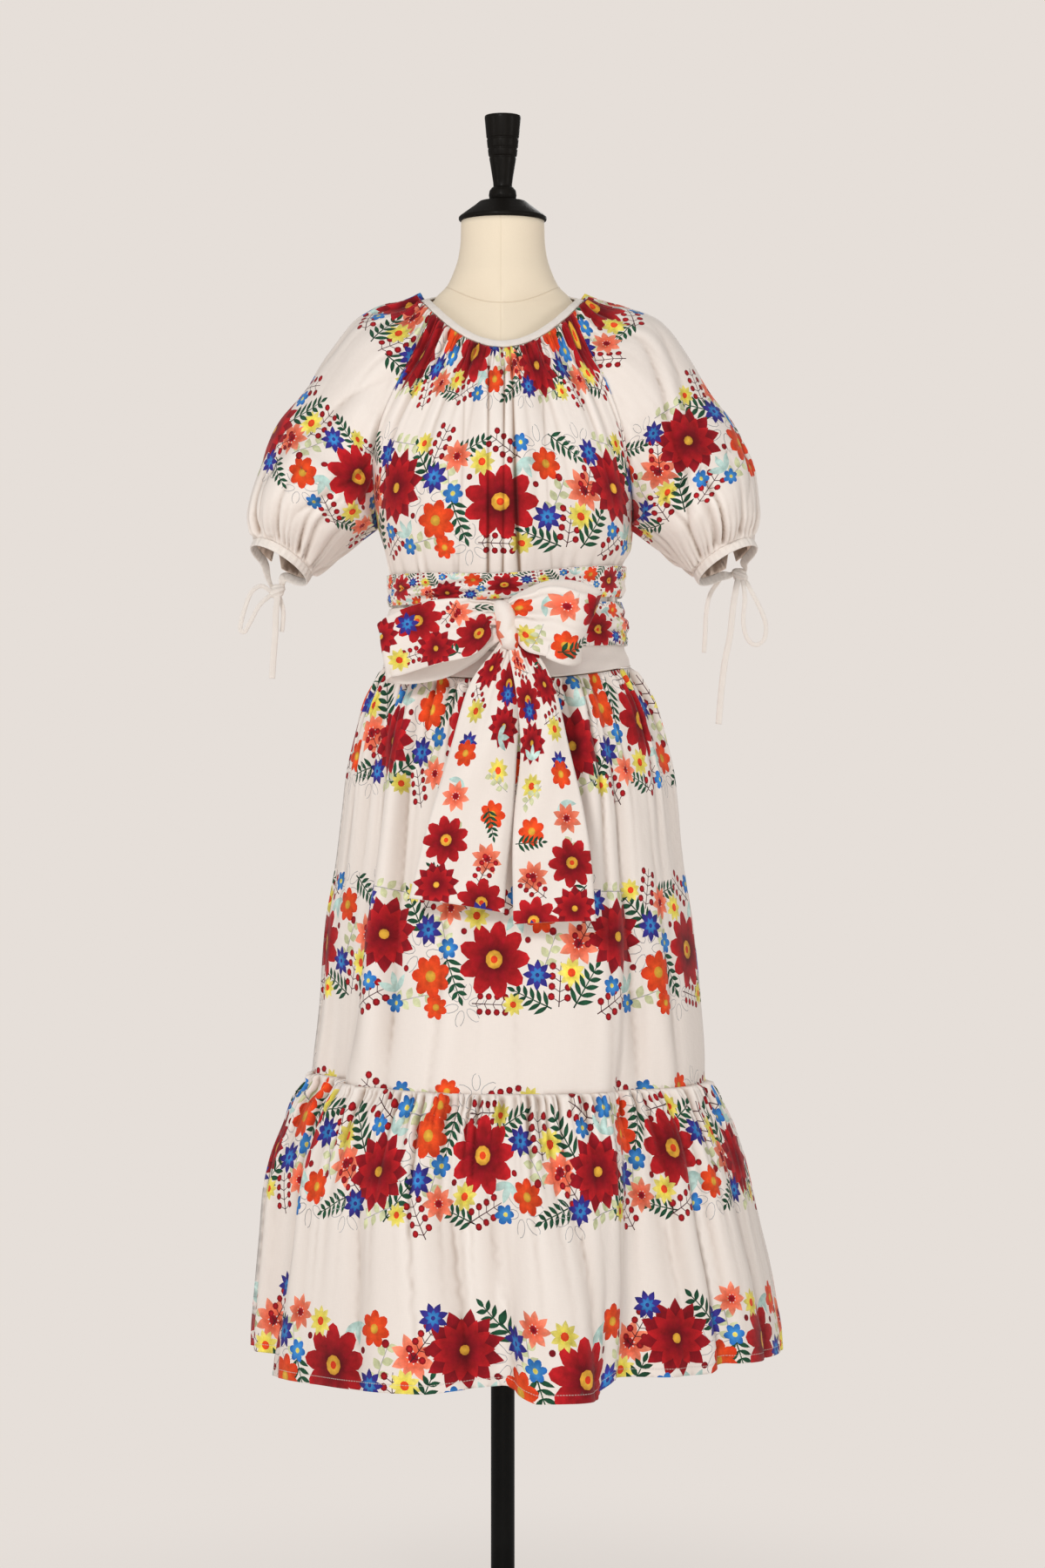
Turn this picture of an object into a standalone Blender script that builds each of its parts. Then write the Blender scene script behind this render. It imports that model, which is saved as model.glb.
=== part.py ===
"""Tiered dress with a tied sash on a limbless dress form.

Metres, +Z up. The front faces -Y and the pole stands on the Z axis. Every cloth
piece is a wall CLOTH thick, and pieces that are sewn together are SEAM apart.
"""

import math

import bmesh
import bpy
import numpy as np

SEAM = 0.0003
EDGE_GAP = 0.0010
CLOTH = 0.0020
STRIP = 0.0022

NECK_HALF = 0.0915
NECK_FRONT = 0.078
NECK_BACK = 0.060
NECK_SIDE_Z = 1.497
NECK_FRONT_DROP = 0.060
NECK_BACK_RISE = 0.012
BINDING_WIDE = 0.0090
BINDING_THICK = 0.0026

BAND_Z = 1.0910
BAND_SAG = 0.0165
BAND_HIGH = 0.0300
SEAM_Z = 0.6300
SEAM_RISE_LEFT = 0.0100
HEM_Z = 0.3270
HEM_DROP = 0.0060

CASING_HIGH = 0.0095
CUFF_HALF = 0.0370
CUFF_TILT = math.radians(19)
SLIT_AT = 0.70
SLIT_WIDE = 0.110

POLE_R = 0.0132
BASE_R = 0.1900
BASE_THICK = 0.0080
FLIP_LATHE = True

# A row per height of the dress from the armpits to the hem: half widths to the
# viewer's left and right of the pole, and depths in front of and behind it.
BODY = [
    # z, left, right, front, back
    (0.320, 0.2690, 0.2965, 0.246, 0.236),
    (0.350, 0.2690, 0.2955, 0.245, 0.235),
    (0.388, 0.2670, 0.2900, 0.241, 0.231),
    (0.427, 0.2645, 0.2840, 0.236, 0.226),
    (0.465, 0.2620, 0.2755, 0.230, 0.221),
    (0.504, 0.2600, 0.2675, 0.223, 0.214),
    (0.543, 0.2530, 0.2590, 0.214, 0.206),
    (0.582, 0.2390, 0.2450, 0.203, 0.195),
    (0.612, 0.2270, 0.2300, 0.191, 0.183),
    (0.633, 0.2090, 0.2170, 0.178, 0.170),
    (0.659, 0.2065, 0.2175, 0.175, 0.167),
    (0.718, 0.2015, 0.2150, 0.170, 0.162),
    (0.795, 0.1985, 0.2095, 0.163, 0.156),
    (0.873, 0.1860, 0.2000, 0.156, 0.148),
    (0.931, 0.1790, 0.1950, 0.150, 0.142),
    (0.970, 0.1745, 0.1900, 0.145, 0.136),
    (1.009, 0.1660, 0.1800, 0.137, 0.128),
    (1.047, 0.1545, 0.1675, 0.128, 0.117),
    (1.070, 0.1430, 0.1545, 0.119, 0.108),
    (1.090, 0.1330, 0.1420, 0.111, 0.099),
    (1.115, 0.1270, 0.1335, 0.107, 0.092),
    (1.150, 0.1210, 0.1270, 0.106, 0.087),
    (1.180, 0.1215, 0.1275, 0.108, 0.088),
    (1.203, 0.1270, 0.1330, 0.115, 0.092),
    (1.222, 0.1320, 0.1430, 0.120, 0.096),
    (1.245, 0.1390, 0.1450, 0.123, 0.100),
]

# Bodice rows above the armpits: centre height and depth, then the raglan seam.
FRONT = [
    # row, centre z, centre depth, edge z, edge left, edge right, edge depth, open deg
    (0, 1.4370, 0.0780, 1.4802, 0.0776, 0.0776, 0.0413, 58),
    (1, 1.4150, 0.0920, 1.4320, 0.0985, 0.0970, 0.0650, 60),
    (2, 1.3850, 0.1040, 1.3970, 0.1160, 0.1150, 0.0800, 64),
    (3, 1.3450, 0.1180, 1.3500, 0.1350, 0.1310, 0.0790, 70),
    (4, 1.3100, 0.1240, 1.3100, 0.1425, 0.1390, 0.0610, 76),
    (5, 1.2780, 0.1250, 1.2750, 0.1420, 0.1430, 0.0340, 83),
    (6, 1.2450, 0.1230, 1.2450, 0.1390, 0.1450, 0.0000, 90),
]
BACK = [
    (0, 1.5090, 0.0600, 1.5037, 0.0776, 0.0776, 0.0318, 58),
    (1, 1.4750, 0.0810, 1.4700, 0.0985, 0.0985, 0.0600, 60),
    (2, 1.4320, 0.0970, 1.4250, 0.1180, 0.1190, 0.0790, 64),
    (3, 1.3750, 0.1060, 1.3650, 0.1360, 0.1370, 0.0800, 70),
    (4, 1.3200, 0.1070, 1.3150, 0.1425, 0.1430, 0.0620, 76),
    (5, 1.2800, 0.1040, 1.2750, 0.1420, 0.1440, 0.0340, 83),
    (6, 1.2450, 0.1000, 1.2450, 0.1390, 0.1450, 0.0000, 90),
]

# Sleeve rows: where its highest line runs, half depth of the tube, and how far
# the row has closed from an open yoke (0) to a tube (1).
SLEEVE = [
    # row, top left, top right, top z, low side x, low side z, half depth, closed
    (0, 0.0915, 0.0915, 1.4970, 0.0, 0.0, 0.000, 0.0),
    (1, 0.1290, 0.1330, 1.4925, 0.0, 0.0, 0.004, 0.02),
    (2, 0.1600, 0.1690, 1.4800, 0.0, 0.0, 0.012, 0.08),
    (3, 0.1950, 0.2060, 1.4380, 0.0, 0.0, 0.026, 0.22),
    (4, 0.2270, 0.2330, 1.3920, 0.0, 0.0, 0.046, 0.48),
    (5, 0.2490, 0.2510, 1.3650, 0.0, 0.0, 0.068, 0.78),
    (6, 0.2630, 0.2640, 1.3380, 0.1390, 1.2450, 0.086, 1.0),
    (7, 0.2770, 0.2790, 1.2950, 0.1700, 1.2220, 0.084, 1.0),
    (8, 0.2820, 0.2850, 1.2560, 0.1980, 1.2030, 0.064, 1.0),
    (9, 0.2760, 0.2790, 1.2290, 0.2133, 1.1935, 0.037, 1.0),
]

# Deep folds of the skirt and flounce. Each runs between two angles from the
# front, given at the seam and at the hem, with the softness of its two flanks,
# how far it stands out at the hem, its overhang and the height it starts at.
FOLDS = [
    # from seam, from hem, to seam, to hem, soft from, soft to, out, pinch, start z
    (-108, -110, -74, -77, 12, 8, 0.012, 0.2, 0.80),
    (-74, -77, -54, -62, 9, 7, -0.016, 0.0, 1.02),
    (-52, -60, 31, 21, 8, 8, 0.026, 0.35, 1.02),
    (-34, -36, 0, -2, 14, 12, 0.010, 0.0, 0.60),
    (3, 4, 24, 15.5, 8, 6, 0.034, 0.45, 0.58),
    (33, 24, 46, 36, 7, 8, -0.012, 0.0, 0.80),
    (40, 33, 52, 52, 12, 7, 0.012, 0.2, 0.66),
    (54, 56, 100, 104, 7, 14, 0.016, 0.3, 0.90),
    (118, 116, 136, 138, 10, 8, 0.022, 0.3, 0.85),
    (150, 148, 170, 172, 10, 10, 0.020, 0.3, 0.75),
    (-176, -178, -156, -154, 10, 10, 0.022, 0.3, 0.75),
    (-146, -144, -124, -122, 9, 10, 0.022, 0.3, 0.85),
]

# How far the hem rises between its folds, by the angle from the front.
HEM = [
    # angle, rise
    (-125, 0.0000),
    (-100, 0.0090),
    (-68, 0.0080),
    (-61, -0.0040),
    (-33, 0.0000),
    (-15, 0.0020),
    (-5, 0.0100),
    (3, 0.0130),
    (7, -0.0030),
    (16, -0.0035),
    (21, 0.0110),
    (35, 0.0075),
    (47, 0.0065),
    (52, 0.0130),
    (65, 0.0085),
    (85, 0.0045),
    (110, 0.0000),
]

# Dress form: a row per height.
FORM = [
    # z, half width, front, back, fullness (2 is an oval, 1 a diamond)
    (0.830, 0.150, 0.108, 0.102, 2.1),
    (0.845, 0.159, 0.118, 0.112, 2.1),
    (0.880, 0.165, 0.127, 0.121, 2.1),
    (0.930, 0.165, 0.129, 0.124, 2.1),
    (0.980, 0.157, 0.124, 0.118, 2.1),
    (1.030, 0.142, 0.112, 0.104, 2.1),
    (1.080, 0.122, 0.098, 0.088, 2.1),
    (1.130, 0.113, 0.092, 0.078, 2.1),
    (1.180, 0.112, 0.092, 0.076, 2.1),
    (1.230, 0.121, 0.104, 0.084, 2.1),
    (1.270, 0.129, 0.114, 0.090, 2.1),
    (1.310, 0.135, 0.115, 0.094, 2.1),
    (1.345, 0.146, 0.106, 0.095, 2.0),
    (1.380, 0.159, 0.092, 0.091, 1.9),
    (1.410, 0.164, 0.080, 0.085, 1.75),
    (1.435, 0.162, 0.070, 0.077, 1.5),
    (1.455, 0.150, 0.063, 0.069, 1.20),
    (1.470, 0.132, 0.059, 0.060, 1.06),
    (1.482, 0.109, 0.0570, 0.054, 1.05),
    (1.488, 0.0965, 0.0565, 0.0535, 1.10),
    (1.493, 0.0855, 0.0560, 0.0530, 1.22),
    (1.4965, 0.0780, 0.0558, 0.0530, 1.35),
    (1.503, 0.0730, 0.0555, 0.0530, 1.5),
    (1.514, 0.0620, 0.0540, 0.0530, 1.8),
    (1.527, 0.0555, 0.0525, 0.0525, 2.0),
    (1.545, 0.0495, 0.0490, 0.0495, 2.0),
    (1.565, 0.0468, 0.0468, 0.0468, 2.0),
    (1.5862, 0.0463, 0.0463, 0.0463, 2.0),
]

CAP = [(0.0, 1.5866), (0.0482, 1.5866), (0.0490, 1.5880), (0.0490, 1.5905), (0.0478, 1.5918)]
CAP += [(0.0400, 1.5975), (0.0310, 1.6040), (0.0262, 1.6080), (0.0247, 1.6086), (0.0, 1.6086)]
FINIAL = [
    (0.0, 1.6089), (0.0130, 1.6089), (0.0148, 1.6110), (0.0156, 1.6150), (0.0148, 1.6200),
    (0.0122, 1.6235), (0.0104, 1.6245), (0.0108, 1.6300), (0.0136, 1.6480), (0.0150, 1.6560),
    (0.0146, 1.6568), (0.0146, 1.6580), (0.0158, 1.6588), (0.0166, 1.6655), (0.0162, 1.6663),
    (0.0162, 1.6675), (0.0170, 1.6683), (0.0178, 1.6765), (0.0173, 1.6773), (0.0173, 1.6785),
    (0.0182, 1.6793), (0.0197, 1.6960), (0.0202, 1.7010), (0.0200, 1.7032), (0.0190, 1.7040),
    (0.0, 1.7040),
]

# Bow and sash rows: middle of the strip, its width, its lean from upright (deg,
# towards the viewer's right) and how far its middle stands in front of its edges.
BOW_LOOP_LEFT = [
    # x, y, z, width, lean, belly
    (-0.0145, -0.1480, 1.1450, 0.022, 0, 0.000),
    (-0.0260, -0.1560, 1.1360, 0.052, 0, 0.002),
    (-0.0460, -0.1610, 1.1275, 0.066, -2, 0.004),
    (-0.0740, -0.1600, 1.1225, 0.068, -4, 0.004),
    (-0.1000, -0.1510, 1.1150, 0.067, -7, 0.004),
    (-0.1200, -0.1395, 1.1070, 0.063, -12, 0.002),
    (-0.1278, -0.1310, 1.1030, 0.060, -13, 0.000),
    (-0.1215, -0.1220, 1.0990, 0.060, -12, 0.000),
    (-0.0990, -0.1225, 1.0990, 0.062, -8, 0.000),
    (-0.0740, -0.1280, 1.1030, 0.062, -2, 0.000),
    (-0.0400, -0.1340, 1.1130, 0.050, 0, 0.000),
    (-0.0190, -0.1360, 1.1220, 0.034, 0, 0.000),
]
BOW_LOOP_RIGHT = [
    (0.0215, -0.1480, 1.1360, 0.045, 0, 0.000),
    (0.0360, -0.1570, 1.1340, 0.068, 4, 0.003),
    (0.0560, -0.1630, 1.1335, 0.077, 8, 0.004),
    (0.0750, -0.1600, 1.1270, 0.080, 14, 0.004),
    (0.0885, -0.1480, 1.1270, 0.078, 18, 0.002),
    (0.0928, -0.1380, 1.1310, 0.074, 18, 0.000),
    (0.0905, -0.1280, 1.1380, 0.070, 14, 0.000),
    (0.0745, -0.1240, 1.1460, 0.068, 8, 0.000),
    (0.0520, -0.1290, 1.1500, 0.060, 0, 0.000),
    (0.0215, -0.1365, 1.1460, 0.040, 0, 0.000),
]
TAIL_LEFT = [
    (-0.0010, -0.1370, 1.0955, 0.027, 90, 0.002),
    (-0.0095, -0.1500, 1.0560, 0.058, 94, 0.005),
    (-0.0195, -0.1620, 0.9950, 0.073, 97, 0.007),
    (-0.0310, -0.1740, 0.9300, 0.085, 101, 0.008),
    (-0.0420, -0.1840, 0.8700, 0.096, 105, 0.006),
    (-0.0480, -0.1900, 0.8310, 0.1035, 107, 0.005),
]
TAIL_RIGHT = [
    (0.0190, -0.1440, 1.0990, 0.026, 90, 0.002),
    (0.0370, -0.1600, 1.0560, 0.042, 86, 0.005),
    (0.0460, -0.1710, 0.9950, 0.055, 85, 0.008),
    (0.0500, -0.1820, 0.9300, 0.073, 83, 0.008),
    (0.0540, -0.1920, 0.8650, 0.085, 82, 0.006),
    (0.0560, -0.1980, 0.8130, 0.089, 82, 0.005),
]
KNOT = (0.0045, -0.1435, 1.1310)
KNOT_HALF = (0.0135, 0.0170, 0.0270)

# Sleeve ties: path points of each strand.
TIE_KNOT = (0.0068, 0.0045, 0.0074)
TIE_LEFT_KNOT = (-0.2535, 0.0370, 1.1765)
TIE_LEFT_LOOP = [
    (-0.2615, 0.0325, 1.1770), (-0.2710, 0.0315, 1.1820), (-0.2820, 0.0310, 1.1750),
    (-0.2900, 0.0310, 1.1550), (-0.2945, 0.0300, 1.1350), (-0.2900, 0.0300, 1.1305),
    (-0.2835, 0.0300, 1.1410), (-0.2740, 0.0310, 1.1590), (-0.2640, 0.0325, 1.1690),
]
TIE_LEFT_END = [
    (-0.2530, 0.0330, 1.1670), (-0.2545, 0.0300, 1.1530), (-0.2550, 0.0280, 1.1300),
    (-0.2565, 0.0270, 1.1090), (-0.2580, 0.0265, 1.0880), (-0.2585, 0.0265, 1.0780),
]
TIE_LEFT_STRAND = [
    (-0.2500, 0.0420, 1.1665), (-0.2472, 0.0410, 1.1560), (-0.2470, 0.0400, 1.1450),
    (-0.2484, 0.0400, 1.1310),
]
TIE_RIGHT_KNOT = (0.2660, 0.0370, 1.1945)
TIE_RIGHT_LOOP = [
    (0.2692, 0.0325, 1.1860), (0.2712, 0.0300, 1.1680), (0.2695, 0.0295, 1.1430),
    (0.2735, 0.0295, 1.1240), (0.2830, 0.0300, 1.1160), (0.2925, 0.0305, 1.1215),
    (0.2950, 0.0310, 1.1370), (0.2900, 0.0325, 1.1540), (0.2800, 0.0345, 1.1740),
    (0.2740, 0.0360, 1.1855),
]
TIE_RIGHT_LONG = [
    (0.2630, 0.0330, 1.1855), (0.2585, 0.0300, 1.1610), (0.2545, 0.0280, 1.1260),
    (0.2485, 0.0270, 1.0955), (0.2445, 0.0265, 1.0610), (0.2418, 0.0265, 1.0270),
]
TIE_RIGHT_SHORT = [
    (0.2425, 0.0400, 1.1880), (0.2325, 0.0390, 1.1720), (0.2282, 0.0380, 1.1500),
    (0.2272, 0.0380, 1.1280), (0.2258, 0.0380, 1.1075),
]


def remove_default_objects():
    for obj in list(bpy.data.objects):
        bpy.data.objects.remove(obj, do_unlink=True)


def columns(rows):
    return [np.array(c, float) for c in zip(*sorted(rows))]


def curve(t, ts, ys):
    """Smooth, non-overshooting value at t of a column ys given at ts."""
    t = np.clip(np.asarray(t, float), ts[0], ts[-1])
    h = np.diff(ts)
    d = np.diff(ys) / h
    m = np.empty(len(ts))
    m[0], m[-1] = d[0], d[-1]
    same = d[:-1] * d[1:] > 0
    both = np.where(same, d[:-1] + d[1:], 1.0)
    m[1:-1] = np.where(same, 2 * d[:-1] * d[1:] / both, 0.0)
    i = np.clip(np.searchsorted(ts, t, side="right") - 1, 0, len(ts) - 2)
    s = (t - ts[i]) / h[i]
    a = (1 + 2 * s) * (1 - s) ** 2
    b = s * (1 - s) ** 2
    c = s * s * (3 - 2 * s)
    e = s * s * (s - 1)
    return a * ys[i] + b * h[i] * m[i] + c * ys[i + 1] + e * h[i] * m[i + 1]


BODY_C = columns(BODY)
FRONT_C = columns(FRONT)
BACK_C = columns(BACK)
SLEEVE_C = columns(SLEEVE)
FORM_C = columns(FORM)
HEM_C = columns(HEM)


def body_ring(phi, z, out=0.0):
    """Point of the dress at angle phi from the front and height z, moved out."""
    zs, left, right, front, back = BODY_C
    s, c = np.sin(phi), np.cos(phi)
    half = np.where(s < 0, curve(z, zs, left), curve(z, zs, right))
    deep = np.where(c > 0, curve(z, zs, front), curve(z, zs, back))
    normal = np.stack([deep * s, -half * c, np.zeros_like(s)], -1)
    normal /= np.linalg.norm(normal, axis=-1, keepdims=True)
    flat = np.stack([half * s, -deep * c, z + 0 * s], -1)
    return flat + normal * np.asarray(out)[..., None], normal


def fold_shift(phi, z):
    """Stand-out and sideways shift of the deep folds at angle phi, height z."""
    out = np.zeros_like(phi)
    side = np.zeros_like(phi)
    for l0, l1, r0, r1, soft_l, soft_r, tall, pinch, start in FOLDS:
        drop = np.clip((start - z) / (start - HEM_Z), 0, 1.1)
        size = tall * drop ** 0.9
        low = np.clip((SEAM_Z - z) / (SEAM_Z - HEM_Z), -1.2, 1.0)
        middle = np.radians((l0 + r0) / 2 + ((l1 + r1) - (l0 + r0)) / 2 * low)
        half = np.radians((r0 - l0) / 2 + ((r1 - l1) - (r0 - l0)) / 2 * low)
        turn = (phi - middle + math.pi) % (2 * math.pi) - math.pi
        into = np.clip((turn + half) / math.radians(soft_l) + 0.5, 0, 1)
        out_of = np.clip((half - turn) / math.radians(soft_r) + 0.5, 0, 1)
        out += size * into * into * (3 - 2 * into) * out_of * out_of * (3 - 2 * out_of)
        side += size * pinch * (np.sin(math.pi * out_of) - np.sin(math.pi * into))
    return out, side


def skirt_ring(phi, z, out=0.0):
    flat, normal = body_ring(phi, z, out)
    tall, side = fold_shift(phi, z)
    across = np.stack([-normal[..., 1], normal[..., 0], 0 * phi], -1)
    return flat + normal * tall[..., None] + across * side[..., None]


def band_low(phi):
    c = np.clip(np.cos(phi), 0, 1)
    return BAND_Z - BAND_SAG * c * c


def seam_z(phi):
    return SEAM_Z + SEAM_RISE_LEFT * np.clip(-np.sin(phi), 0, 1) ** 2


def hem_z(phi):
    angles, rises = HEM_C
    turn = (np.degrees(phi) + 180) % 360 - 180
    drop = HEM_DROP * np.clip(np.cos(phi), 0, 1) ** 2
    return HEM_Z - drop + np.interp(turn, angles, rises)


def neck(phi):
    """Point of the neckline at angle phi from the front."""
    c = np.cos(phi)
    y = np.where(c > 0, -NECK_FRONT * c, -NECK_BACK * c)
    z = NECK_SIDE_Z - np.where(c > 0, NECK_FRONT_DROP * c * c, NECK_BACK_RISE * c)
    return np.stack([NECK_HALF * np.sin(phi), y, z], -1)


def neck_inward(phi):
    """Direction along the chest from the neckline up towards the neck."""
    c, s = np.cos(phi), np.sin(phi)
    way = np.stack([-s, 0.55 * c, 0.10 + 0.74 * c * c], -1)
    return way / np.linalg.norm(way, axis=-1, keepdims=True)


def bodice_rows(cols, u, row, front):
    """Point of a bodice panel above the armpits, u from -1 to 1 across it."""
    rows, cz, cy, ez, left, right, ey, open_deg = cols
    wide = np.radians(curve(row, rows, open_deg))
    phi = u * wide
    edge_x = np.where(u < 0, curve(row, rows, left), curve(row, rows, right))
    part = (1 - np.cos(phi)) / (1 - np.cos(wide))
    x = edge_x * np.sin(phi) / np.sin(wide)
    y0, y1 = curve(row, rows, cy), curve(row, rows, ey)
    z0, z1 = curve(row, rows, cz), curve(row, rows, ez)
    # The neckline dips to its middle as a parabola, the rows below it as a cosine.
    bowl = np.clip(1 - row, 0, 1) ** 2 if front else 0 * row
    part_z = part * (1 - bowl) + (1 - np.cos(phi) ** 2) / (1 - np.cos(wide) ** 2) * bowl
    sign = -1 if front else 1
    return np.stack([x, sign * (y0 + (y1 - y0) * part), z0 + (z1 - z0) * part_z], -1)


def bodice_panel(u, v, front):
    """u from -1 to 1 across, v 0 at the neckline, 1 at the armpits, 2 at the waistband."""
    cols = FRONT_C if front else BACK_C
    upper = bodice_rows(cols, u, np.clip(v, 0, 1) * 6, front)
    phi = u * math.pi / 2 if front else math.pi - u * math.pi / 2
    top = 1.2450
    low = band_low(phi) + BAND_HIGH + SEAM
    z = top + (low - top) * np.clip(v - 1, 0, 1)
    lower, _ = body_ring(phi, z)
    return np.where((v <= 1)[..., None], upper, lower)


def raglan(row, side, front):
    """Point of the raglan seam of one side at a row."""
    rows, _, _, ez, left, right, ey, _ = FRONT_C if front else BACK_C
    x = curve(row, rows, left if side < 0 else right)
    y = curve(row, rows, ey) * (-1 if front else 1)
    return np.stack([side * x, y, curve(row, rows, ez)], -1)


def sleeve_panel(side, t, row, gap=0.0012):
    """t goes round from the front seam over the top to the back seam."""
    rows, left, right, top_z, low_x, low_z, deep, closed = SLEEVE_C
    start = raglan(np.clip(row, 0, 6), side, True)
    end = raglan(np.clip(row, 0, 6), side, False)
    below = np.clip(row, 6, 9)
    tube_rows = rows[6:]
    low = np.stack(
        [side * curve(below, tube_rows, low_x[6:]), 0 * t, curve(below, tube_rows, low_z[6:])], -1
    )
    is_tube = (row > 6)[..., None]
    start = np.where(is_tube, low, start)
    end = np.where(is_tube, low, end)
    middle, half = (start + end) / 2, (end - start) / 2
    top_x = curve(row, rows, left if side < 0 else right)
    top = np.stack([side * top_x, 0 * t, curve(row, rows, top_z)], -1)
    rise = top - middle
    rise[..., 1] = 0
    tube = np.clip(curve(row, rows, closed), 0, 1)[..., None]
    tilt = CUFF_TILT * np.clip((row - 6.5) / 2.5, 0, 1)
    back = np.stack([0 * t, np.cos(tilt), -np.sin(tilt)], -1)
    a = (math.pi * t)[..., None]
    arch = middle - half * np.cos(a) + rise * (1 - tube) * np.sin(a)
    arch = arch + rise * tube * (1 - np.cos(2 * a)) / 2
    arch = arch - back * curve(row, rows, deep)[..., None] * np.sin(2 * a) * np.clip(tube * 1.0, 0, 1)
    # The top rows run along the neckline itself.
    front_phi, back_phi = math.radians(58), math.radians(180 - 58)
    ring = neck(side * (front_phi + (back_phi - front_phi) * t))
    near = np.clip(1 - row / 1.5, 0, 1)[..., None] ** 2
    point = arch * (1 - near) + ring * near
    # Leave the seam gap beside the bodice.
    edge = np.clip(1 - np.minimum(t, 1 - t) / 0.05, 0, 1) * np.clip((6.4 - row) / 0.4, 0, 1)
    point[..., 0] += side * gap * edge
    return point


def cuff_frame(side):
    """Centre of the cuff's top edge, its long and deep axes and the way down."""
    rows, left, right, top_z, low_x, low_z, deep, _ = SLEEVE_C
    outer = np.array([side * (left if side < 0 else right)[-1], 0, top_z[-1]])
    inner = np.array([side * low_x[-1], 0, low_z[-1]])
    long = (outer - inner) / 2
    back = np.array([0, math.cos(CUFF_TILT), -math.sin(CUFF_TILT)]) * deep[-1]
    down = np.cross(long, back)
    down /= np.linalg.norm(down)
    if down[2] > 0:
        down = -down
    return (outer + inner) / 2, long, back, down


def material(name, rgb, rough, metallic=0.0):
    mat = bpy.data.materials.new(name)
    mat.use_nodes = True
    bsdf = mat.node_tree.nodes["Principled BSDF"]
    bsdf.inputs["Base Color"].default_value = (*rgb, 1)
    bsdf.inputs["Roughness"].default_value = rough
    bsdf.inputs["Metallic"].default_value = metallic
    return mat


COTTON = (0.84, 0.79, 0.72)
PRINTED = (0.74, 0.42, 0.36)
TAPE = (0.85, 0.80, 0.75)
JERSEY = (0.86, 0.76, 0.60)
BLACK = (0.014, 0.013, 0.012)


def add(name, verts, faces, rgb, rough=0.85, metallic=0.0):
    mesh = bpy.data.meshes.new(name)
    mesh.from_pydata([tuple(v) for v in verts], [], [tuple(f) for f in faces])
    mesh.validate()
    obj = bpy.data.objects.new(name, mesh)
    bpy.context.scene.collection.objects.link(obj)
    obj.data.materials.append(material(name + "_finish", rgb, rough, metallic))
    return obj


def face_out(obj):
    """Turns the faces of a closed mesh outwards."""
    work = bmesh.new()
    work.from_mesh(obj.data)
    bmesh.ops.recalc_face_normals(work, faces=work.faces)
    work.to_mesh(obj.data)
    work.free()
    return obj


def thicken(obj, thick):
    """Gives a sheet its wall, grown to the side its normals point away from."""
    mod = obj.modifiers.new("wall", "SOLIDIFY")
    mod.thickness = thick
    mod.offset = -1.0
    mod.use_even_offset = True
    mod.use_quality_normals = True
    mod.thickness_clamp = 0.0
    return obj


def grid(points, wrap=False, flip=False, skip=()):
    """Vertices and quads of a grid of points, rows first."""
    rows, cols = points.shape[:2]
    verts = points.reshape(-1, 3)
    faces = []
    last = cols if wrap else cols - 1
    for i in range(rows - 1):
        for j in range(last):
            if (i, j) in skip:
                continue
            k = (j + 1) % cols
            face = (i * cols + j, (i + 1) * cols + j, (i + 1) * cols + k, i * cols + k)
            faces.append(face[::-1] if flip else face)
    return verts, faces


def even_angles(z, first, last, count):
    """Angles that step evenly along the cloth of the skirt at height z."""
    fine = np.linspace(first, last, 600)
    points = skirt_ring(fine, np.full_like(fine, z))
    run = np.concatenate([[0], np.cumsum(np.linalg.norm(np.diff(points, axis=0), axis=1))])
    return np.interp(np.linspace(0, run[-1], count), run, fine)


def side_gap(count, gap):
    """Shift that keeps a panel's two side edges clear of the next panel."""
    shift = np.zeros(count)
    shift[0], shift[-1] = gap, -gap
    return shift


def skirt_tier(name, front, top, low, nu, nv, z_for_angles, rgb):
    mid = 0.0 if front else math.pi
    phi = even_angles(z_for_angles, mid - math.pi / 2, mid + math.pi / 2, nu + 1)
    phi = phi + side_gap(nu + 1, EDGE_GAP / 0.21)
    rows = []
    for v in np.linspace(0, 1, nv + 1):
        z_top, z_low = top(phi), low(phi)
        rows.append(skirt_ring(phi, z_top + (z_low - z_top) * v))
    verts, faces = grid(np.array(rows))
    return thicken(add(name, verts, faces, rgb), CLOTH)


def bodice(name, front, nu, upper, lower):
    u = np.linspace(-1, 1, nu + 1)
    vs = np.concatenate([np.linspace(0, 1, upper + 1), np.linspace(1, 2, lower + 1)[1:]])
    rows = [bodice_panel(u, np.full_like(u, v), front) for v in vs]
    points = np.array(rows)
    away = EDGE_GAP * (-1 if front else 1)
    points[:, 0] += (0.0004, away, 0)
    points[:, -1] += (-0.0004, away, 0)
    verts, faces = grid(points, flip=not front)
    return thicken(add(name, verts, faces, COTTON), CLOTH)


def sleeve(name, side, nt, rows):
    t = np.linspace(0, 1, nt + 1)
    slit = int(SLIT_AT * nt)
    verts = []
    index = {}
    for i, row in enumerate(rows):
        points = sleeve_panel(side, t, np.full_like(t, row))
        for j in range(nt + 1):
            if row >= 6 and j == nt:
                index[i, j] = index[i, 0]
                continue
            index[i, j] = len(verts)
            verts.append(points[j])
    faces = []
    for i in range(len(rows) - 1):
        for j in range(nt):
            if j == slit and rows[i] >= 8.0:
                continue
            quad = [index[i, j], index[i + 1, j], index[i + 1, j + 1], index[i, j + 1]]
            if side > 0:
                quad = quad[::-1]
            kept = [q for n, q in enumerate(quad) if q != quad[n - 1]]
            faces.append(kept[::-1])
    return thicken(add(name, verts, faces, COTTON), CLOTH)


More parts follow.
